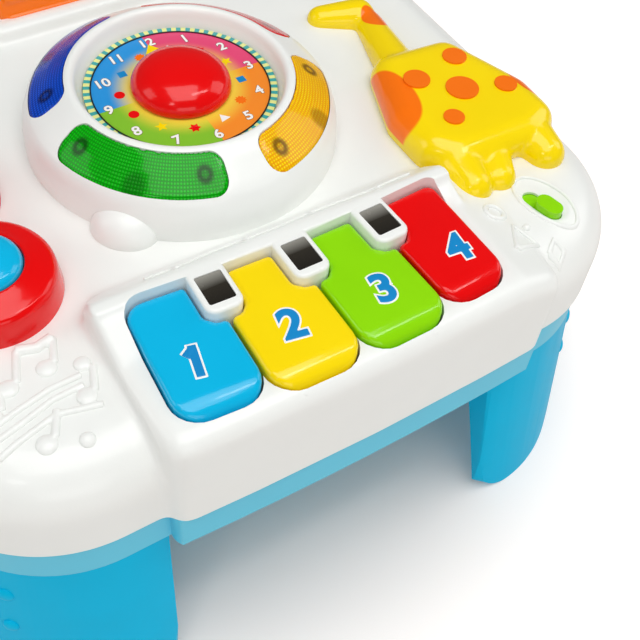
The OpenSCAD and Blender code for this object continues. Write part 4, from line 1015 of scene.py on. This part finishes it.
class TABLE_OT_giraffe(bpy.types.Operator):
    """The giraffe lying along the right side"""
    bl_idname = "table.giraffe"
    bl_label = "Giraffe"

    def execute(self, context):
        # Rows of balls (x, y, z, radius); each row is wrapped tight, then all melt together
        body = [(x + 116, y - 62, 186 - r, r) for x, y, r in (
            (-21, 12, 12), (-21, -8, 12), (-15, -16, 11.5), (22, -17, 11), (31, -13, 11), (31, 4, 12),
            (18, 40, 12), (-10, 42, 12))]
        front_legs = ((100, -76, 171.5, 13), (97.8, -95.2, 171, 9.8))
        middle_leg = ((118.5, -80, 171.5, 10), (112.8, -96, 170.5, 8.2))
        back_leg = ((142, -78, 172, 12.5), (142.3, -93.6, 171, 9.8))
        neck = ((112, -18, 173, 11), (122, 26, 171, 7.5))
        head = ((120, 34, 171.5, 9.5), (102, 42, 170.5, 7))
        whole = bmesh.new()
        for group in (body, front_legs, middle_leg, back_leg, neck, head):
            part = bmesh.new()
            for x, y, z, r in group:
                bmesh.ops.create_icosphere(part, subdivisions=5, radius=r, matrix=move(x, y, z))
            bmesh.ops.delete(part, geom=part.edges[:], context="EDGES_FACES")
            wrap = bmesh.ops.convex_hull(part, input=part.verts[:])
            inner = only(bmesh.types.BMVert, wrap["geom_interior"] + wrap["geom_unused"])
            bmesh.ops.delete(part, geom=list(set(inner)), context="VERTS")
            bmesh.ops.recalc_face_normals(part, faces=part.faces)
            join(whole, part)
        bm = bmesh.new()
        pour(bm, melt(scratch("giraffe_moulded", whole, MM), 0.0009, 26, 0.35))
        shave(bm, (0, 0, 0.1686), (0, 0, -1))
        remould("giraffe", bm, "giraffe_coat", 50, 1)
        return {"FINISHED"}


class TABLE_OT_switch(bpy.types.Operator):
    """The sliding switch knob"""
    bl_idname = "table.switch"
    bl_label = "Slide switch"

    def execute(self, context):
        bm = block(pill(13.3, 8.3), 166.6, 173.1, 2.2, 6)
        plate = block(pill(24, 11), 165.9, 167.3)
        plate.transform(move(-2, 0))
        join(bm, plate)
        bm.transform(at_switch() @ move(3.4, 0))
        remould("switch_slider", bm, "lime")
        return {"FINISHED"}


class TABLE_OT_roller(bpy.types.Operator):
    """The ribbed roller at the back"""
    bl_idname = "table.roller"
    bl_label = "Roller"

    def execute(self, context):
        softened("roller", "roller_moulded", "orange", body="roller")
        return {"FINISHED"}


# Corners of the table, in metres: middle of a corner's round, and the tray's lower face
CORNER_X, CORNER_Y, TRAY_Z = 0.105, 0.087, 0.104


class TABLE_OT_legs(bpy.types.Operator):
    """Four curved legs with softened edges"""
    bl_idname = "table.legs"
    bl_label = "Legs"

    def execute(self, context):
        for spot in ("front_left", "front_right", "back_left", "back_right"):
            leg = eased("leg_" + spot, "leg_blue", 0.0009, lambda x, y, z: z < TRAY_Z - 0.0005)
            sx, sy = (1 if "right" in spot else -1), (1 if "back" in spot else -1)
            centre = Vector((CORNER_X * sx, CORNER_Y * sy, 0))
            self.taper(leg, centre, Vector((sx, sy, 0)).normalized())
            tree = surface_of(leg)
            bm = bmesh.new()
            for turn, z, radius in ((34, 95, 5.6), (44, 85, 4), (24, 84, 3.8), (33, 70, 6), (44, 60, 3.8),
                                    (24, 62, 3.6)):
                out = Vector((math.cos(math.radians(turn)) * sx, math.sin(math.radians(turn)) * sy, 0))
                at, normal = tree.ray_cast(centre + Vector((0, 0, z * MM)) + out * 0.2, -out)[:2]
                if at is None:
                    raise RuntimeError("no leg surface for the relief")
                facing = normal.to_track_quat("Z", "Y").to_matrix().to_4x4()
                add_pebble(bm, radius, 1.7, move(*at / MM) @ facing)
            place_piece("leg_relief_" + spot, bm, "leg_blue", smooth=50)
        return {"FINISHED"}

    @staticmethod
    def taper(leg, centre, outward, reach=0.077, flatten=0.2, narrow=0.05):
        """Draws a leg's foot flatter and narrower than its top."""
        along = outward.cross(Vector((0, 0, 1)))
        for vert in leg.data.vertices:
            drop = max(0, 1 - vert.co.z / TRAY_Z)
            place = vert.co - centre
            vert.co += (outward * (reach - place.dot(outward)) * flatten * drop
                        - along * place.dot(along) * narrow * drop)


class TABLE_OT_tray(bpy.types.Operator):
    """The blue tray below the shell, with its edges eased"""
    bl_idname = "table.tray"
    bl_label = "Tray"

    def execute(self, context):
        eased("base_tray", "tray_blue", 0.0012, self.outer)
        return {"FINISHED"}

    @staticmethod
    def outer(x, y, z):
        """Whether a point is on the lower outer edge."""
        x, y = abs(x), abs(y)
        in_corner = x > 0.1 and y > 0.08 and math.hypot(x - CORNER_X, y - CORNER_Y) > 0.06
        return abs(z - TRAY_Z) < 1e-5 and (x > 0.164 or y > 0.146 or in_corner)


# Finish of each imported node; what isn't listed is steel
FINISHES = {
    "shell_white": "top_shell clock_dome",
    "inner_white": "light_tray key_chassis",
    "tray_blue": "base_tray battery_door",
    "leg_blue": "leg_front_left leg_front_right leg_back_left leg_back_right",
    "sky": "key_1 button_front button_back",
    "yellow": "key_2 giraffe clock_pointer",
    "lime": "key_3 switch_slider",
    "red": "key_4 clock_knob button_housing",
    "orange": "roller giraffe_patches",
    "lens_green": "lens_green", "lens_amber": "lens_amber", "lens_red": "lens_red", "lens_blue": "lens_blue",
    "clock_print": "clock_face", "black_print": "clock_line", "dark_inlay": "dark_inlays",
    "circuit_board": "light_board key_board main_board",
    "lamp_clear": "lamps",
    "pad_rubber": "key_pad_1 key_pad_2 key_pad_3 key_pad_4 button_pad_front button_pad_back",
    "dark_plastic": "switch_body loudspeaker",
    "battery_wrap": "batteries",
}


class TABLE_OT_carried(bpy.types.Operator):
    """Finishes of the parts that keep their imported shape"""
    bl_idname = "table.carried"
    bl_label = "Carried parts"

    def execute(self, context):
        finish_of = {node: finish for finish, nodes in FINISHES.items() for node in nodes.split()}
        for name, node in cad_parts.items():
            if not node.material_slots:
                raise RuntimeError("%s has no material slot" % name)
            for slot in node.material_slots:
                slot.link = "OBJECT"
                slot.material = plastic(finish_of.get(name, "steel"))
        return {"FINISHED"}


class TABLE_OT_stage(bpy.types.Operator):
    """Pale floor, soft studio light and the camera"""
    bl_idname = "table.stage"
    bl_label = "Stage"

    def execute(self, context):
        context.scene.view_settings.view_transform = "Standard"
        self.surroundings(context.scene)
        self.floor()
        middle = (0, -0.03, 0.14)
        lamps = (
            ("overhead_box", 11.8, (1.2, 1.2), (-0.1, -0.35, 1.6), middle),
            ("left_box", 2.4, (0.7, 0.7), (-1.3, 0.5, 1.0), middle),
            ("right_box", 3.2, (0.7, 0.9), (1.35, -0.3, 0.9), middle),
            ("glare_box", 1.9, (0.7, 0.13), (0.53, -0.46, 1.32), (0.53, -0.46, 0)),
            ("front_left_box", 0.9, (0.22, 0.22), (-0.95, -0.8, 1.15), middle),
            ("front_box", 2.7, (1.1, 0.5), (-0.45, -1.5, 0.6), middle))
        for name, power, size, at, aim in lamps:
            lamp = bpy.data.lights.new(name, "AREA")
            lamp.shape = "RECTANGLE"
            lamp.energy, lamp.size, lamp.size_y = power, size[0], size[1]
            lamp.color = (1.0, 0.995, 0.985)
            light = linked(name, lamp)
            light.location = at
            light.rotation_euler = (Vector(aim) - Vector(at)).to_track_quat("-Z", "Y").to_euler()
        context.scene.camera = self.camera(compass=37.88, down=51.62, roll=7.35)
        return {"FINISHED"}

    @staticmethod
    def surroundings(scene):
        """White to the camera, soft grey light on the table, dimmer still in its gloss."""
        scene.world = bpy.data.worlds.new("studio")
        w = Wiring(scene.world)
        white = (1, 1, 1, 1)
        rays = w.add("LightPath").outputs
        dimmed = w.sum("MULTIPLY", rays["Is Glossy Ray"], 0.24)
        back = w.put(w.tree.nodes["Background"], {"Color": white, "Strength": w.sum("SUBTRACT", 0.34, dimmed)})
        seen = w.add("Background", {"Color": white, "Strength": 1})
        mix = w.add("MixShader", {"Fac": rays["Is Camera Ray"], 1: back.outputs[0], 2: seen.outputs[0]})
        w.put(w.tree.nodes["World Output"], {"Surface": mix.outputs[0]})

    @staticmethod
    def floor():
        """Plain pale paper that glows to white away from the table."""
        bm = bmesh.new()
        bmesh.ops.create_grid(bm, x_segments=2, y_segments=2, size=3)
        floor = scratch("floor", bm)
        mat = bpy.data.materials.new("floor_paper")
        w = Wiring(mat)
        w.put(w.shader, {"Base Color": (0.93, 0.865, 0.83, 1), "Roughness": 0.9, "Specular IOR Level": 0.1})
        away = w.add("VectorMath", {0: w.place()}, operation="LENGTH").outputs["Value"]
        glows = w.sum("ADD", w.spread(away, 0.14, 0.28, 0, 0.36), w.spread(away, 0.6, 2.2, 0, 0.75, smooth=False))
        seen = w.add("LightPath").outputs["Is Camera Ray"]
        glow = w.add("Emission", {"Color": (1, 0.98, 0.97, 1), "Strength": w.sum("MULTIPLY", seen, glows)})
        both = w.add("AddShader", {0: w.shader.outputs[0], 1: glow.outputs[0]})
        w.put(w.tree.nodes["Material Output"], {"Surface": both.outputs[0]})
        floor.data.materials.append(mat)

    @staticmethod
    def camera(compass, down, roll):
        """The camera, with the angles in degrees that it looks along."""
        a, e, r = (math.radians(v) for v in (compass, down, roll))
        ahead = Vector((math.sin(a) * math.cos(e), math.cos(a) * math.cos(e), -math.sin(e)))
        right = Vector((math.cos(a), -math.sin(a), 0))
        up = right.cross(ahead)
        side = math.cos(r) * right + math.sin(r) * up
        top = -math.sin(r) * right + math.cos(r) * up
        lens = bpy.data.cameras.new("camera")
        lens.lens, lens.sensor_width, lens.clip_start = 58.08, 36, 0.01
        camera = linked("camera", lens)
        turn = Matrix((side, top, -ahead)).transposed().to_4x4()
        camera.matrix_world = move(-0.1628, -0.3312, 0.4967) @ turn
        return camera


OPERATORS = (TABLE_OT_stage, TABLE_OT_carried, TABLE_OT_shell, TABLE_OT_reliefs, TABLE_OT_tray, TABLE_OT_keys,
             TABLE_OT_key_marks, TABLE_OT_dome, TABLE_OT_lenses, TABLE_OT_clock, TABLE_OT_buttons, TABLE_OT_giraffe,
             TABLE_OT_switch, TABLE_OT_roller, TABLE_OT_legs)


class TABLE_PT_panel(bpy.types.Panel):
    """Lists the pieces of the activity table"""
    bl_idname = "TABLE_PT_panel"
    bl_label = "Activity table"
    bl_space_type = "VIEW_3D"
    bl_region_type = "UI"
    bl_category = "Activity table"

    def draw(self, context):
        column = self.layout.column()
        for op in OPERATORS:
            column.operator(op.bl_idname, text=op.bl_label)
        for group in (context.scene.table_colours, context.scene.table_sizes):
            for key in group.__annotations__:
                column.prop(group, key)


CLASSES = (TableColours, TableSizes) + OPERATORS + (TABLE_PT_panel,)


def register():
    for cls in CLASSES:
        bpy.utils.register_class(cls)
    bpy.types.Scene.table_colours = bpy.props.PointerProperty(type=TableColours)
    bpy.types.Scene.table_sizes = bpy.props.PointerProperty(type=TableSizes)


def unregister():
    del bpy.types.Scene.table_sizes
    del bpy.types.Scene.table_colours
    for cls in reversed(CLASSES):
        bpy.utils.unregister_class(cls)


def main():
    register()
    for op in OPERATORS:
        group, name = op.bl_idname.split(".")
        getattr(getattr(bpy.ops, group), name)()


if __name__ == "__main__":
    main()
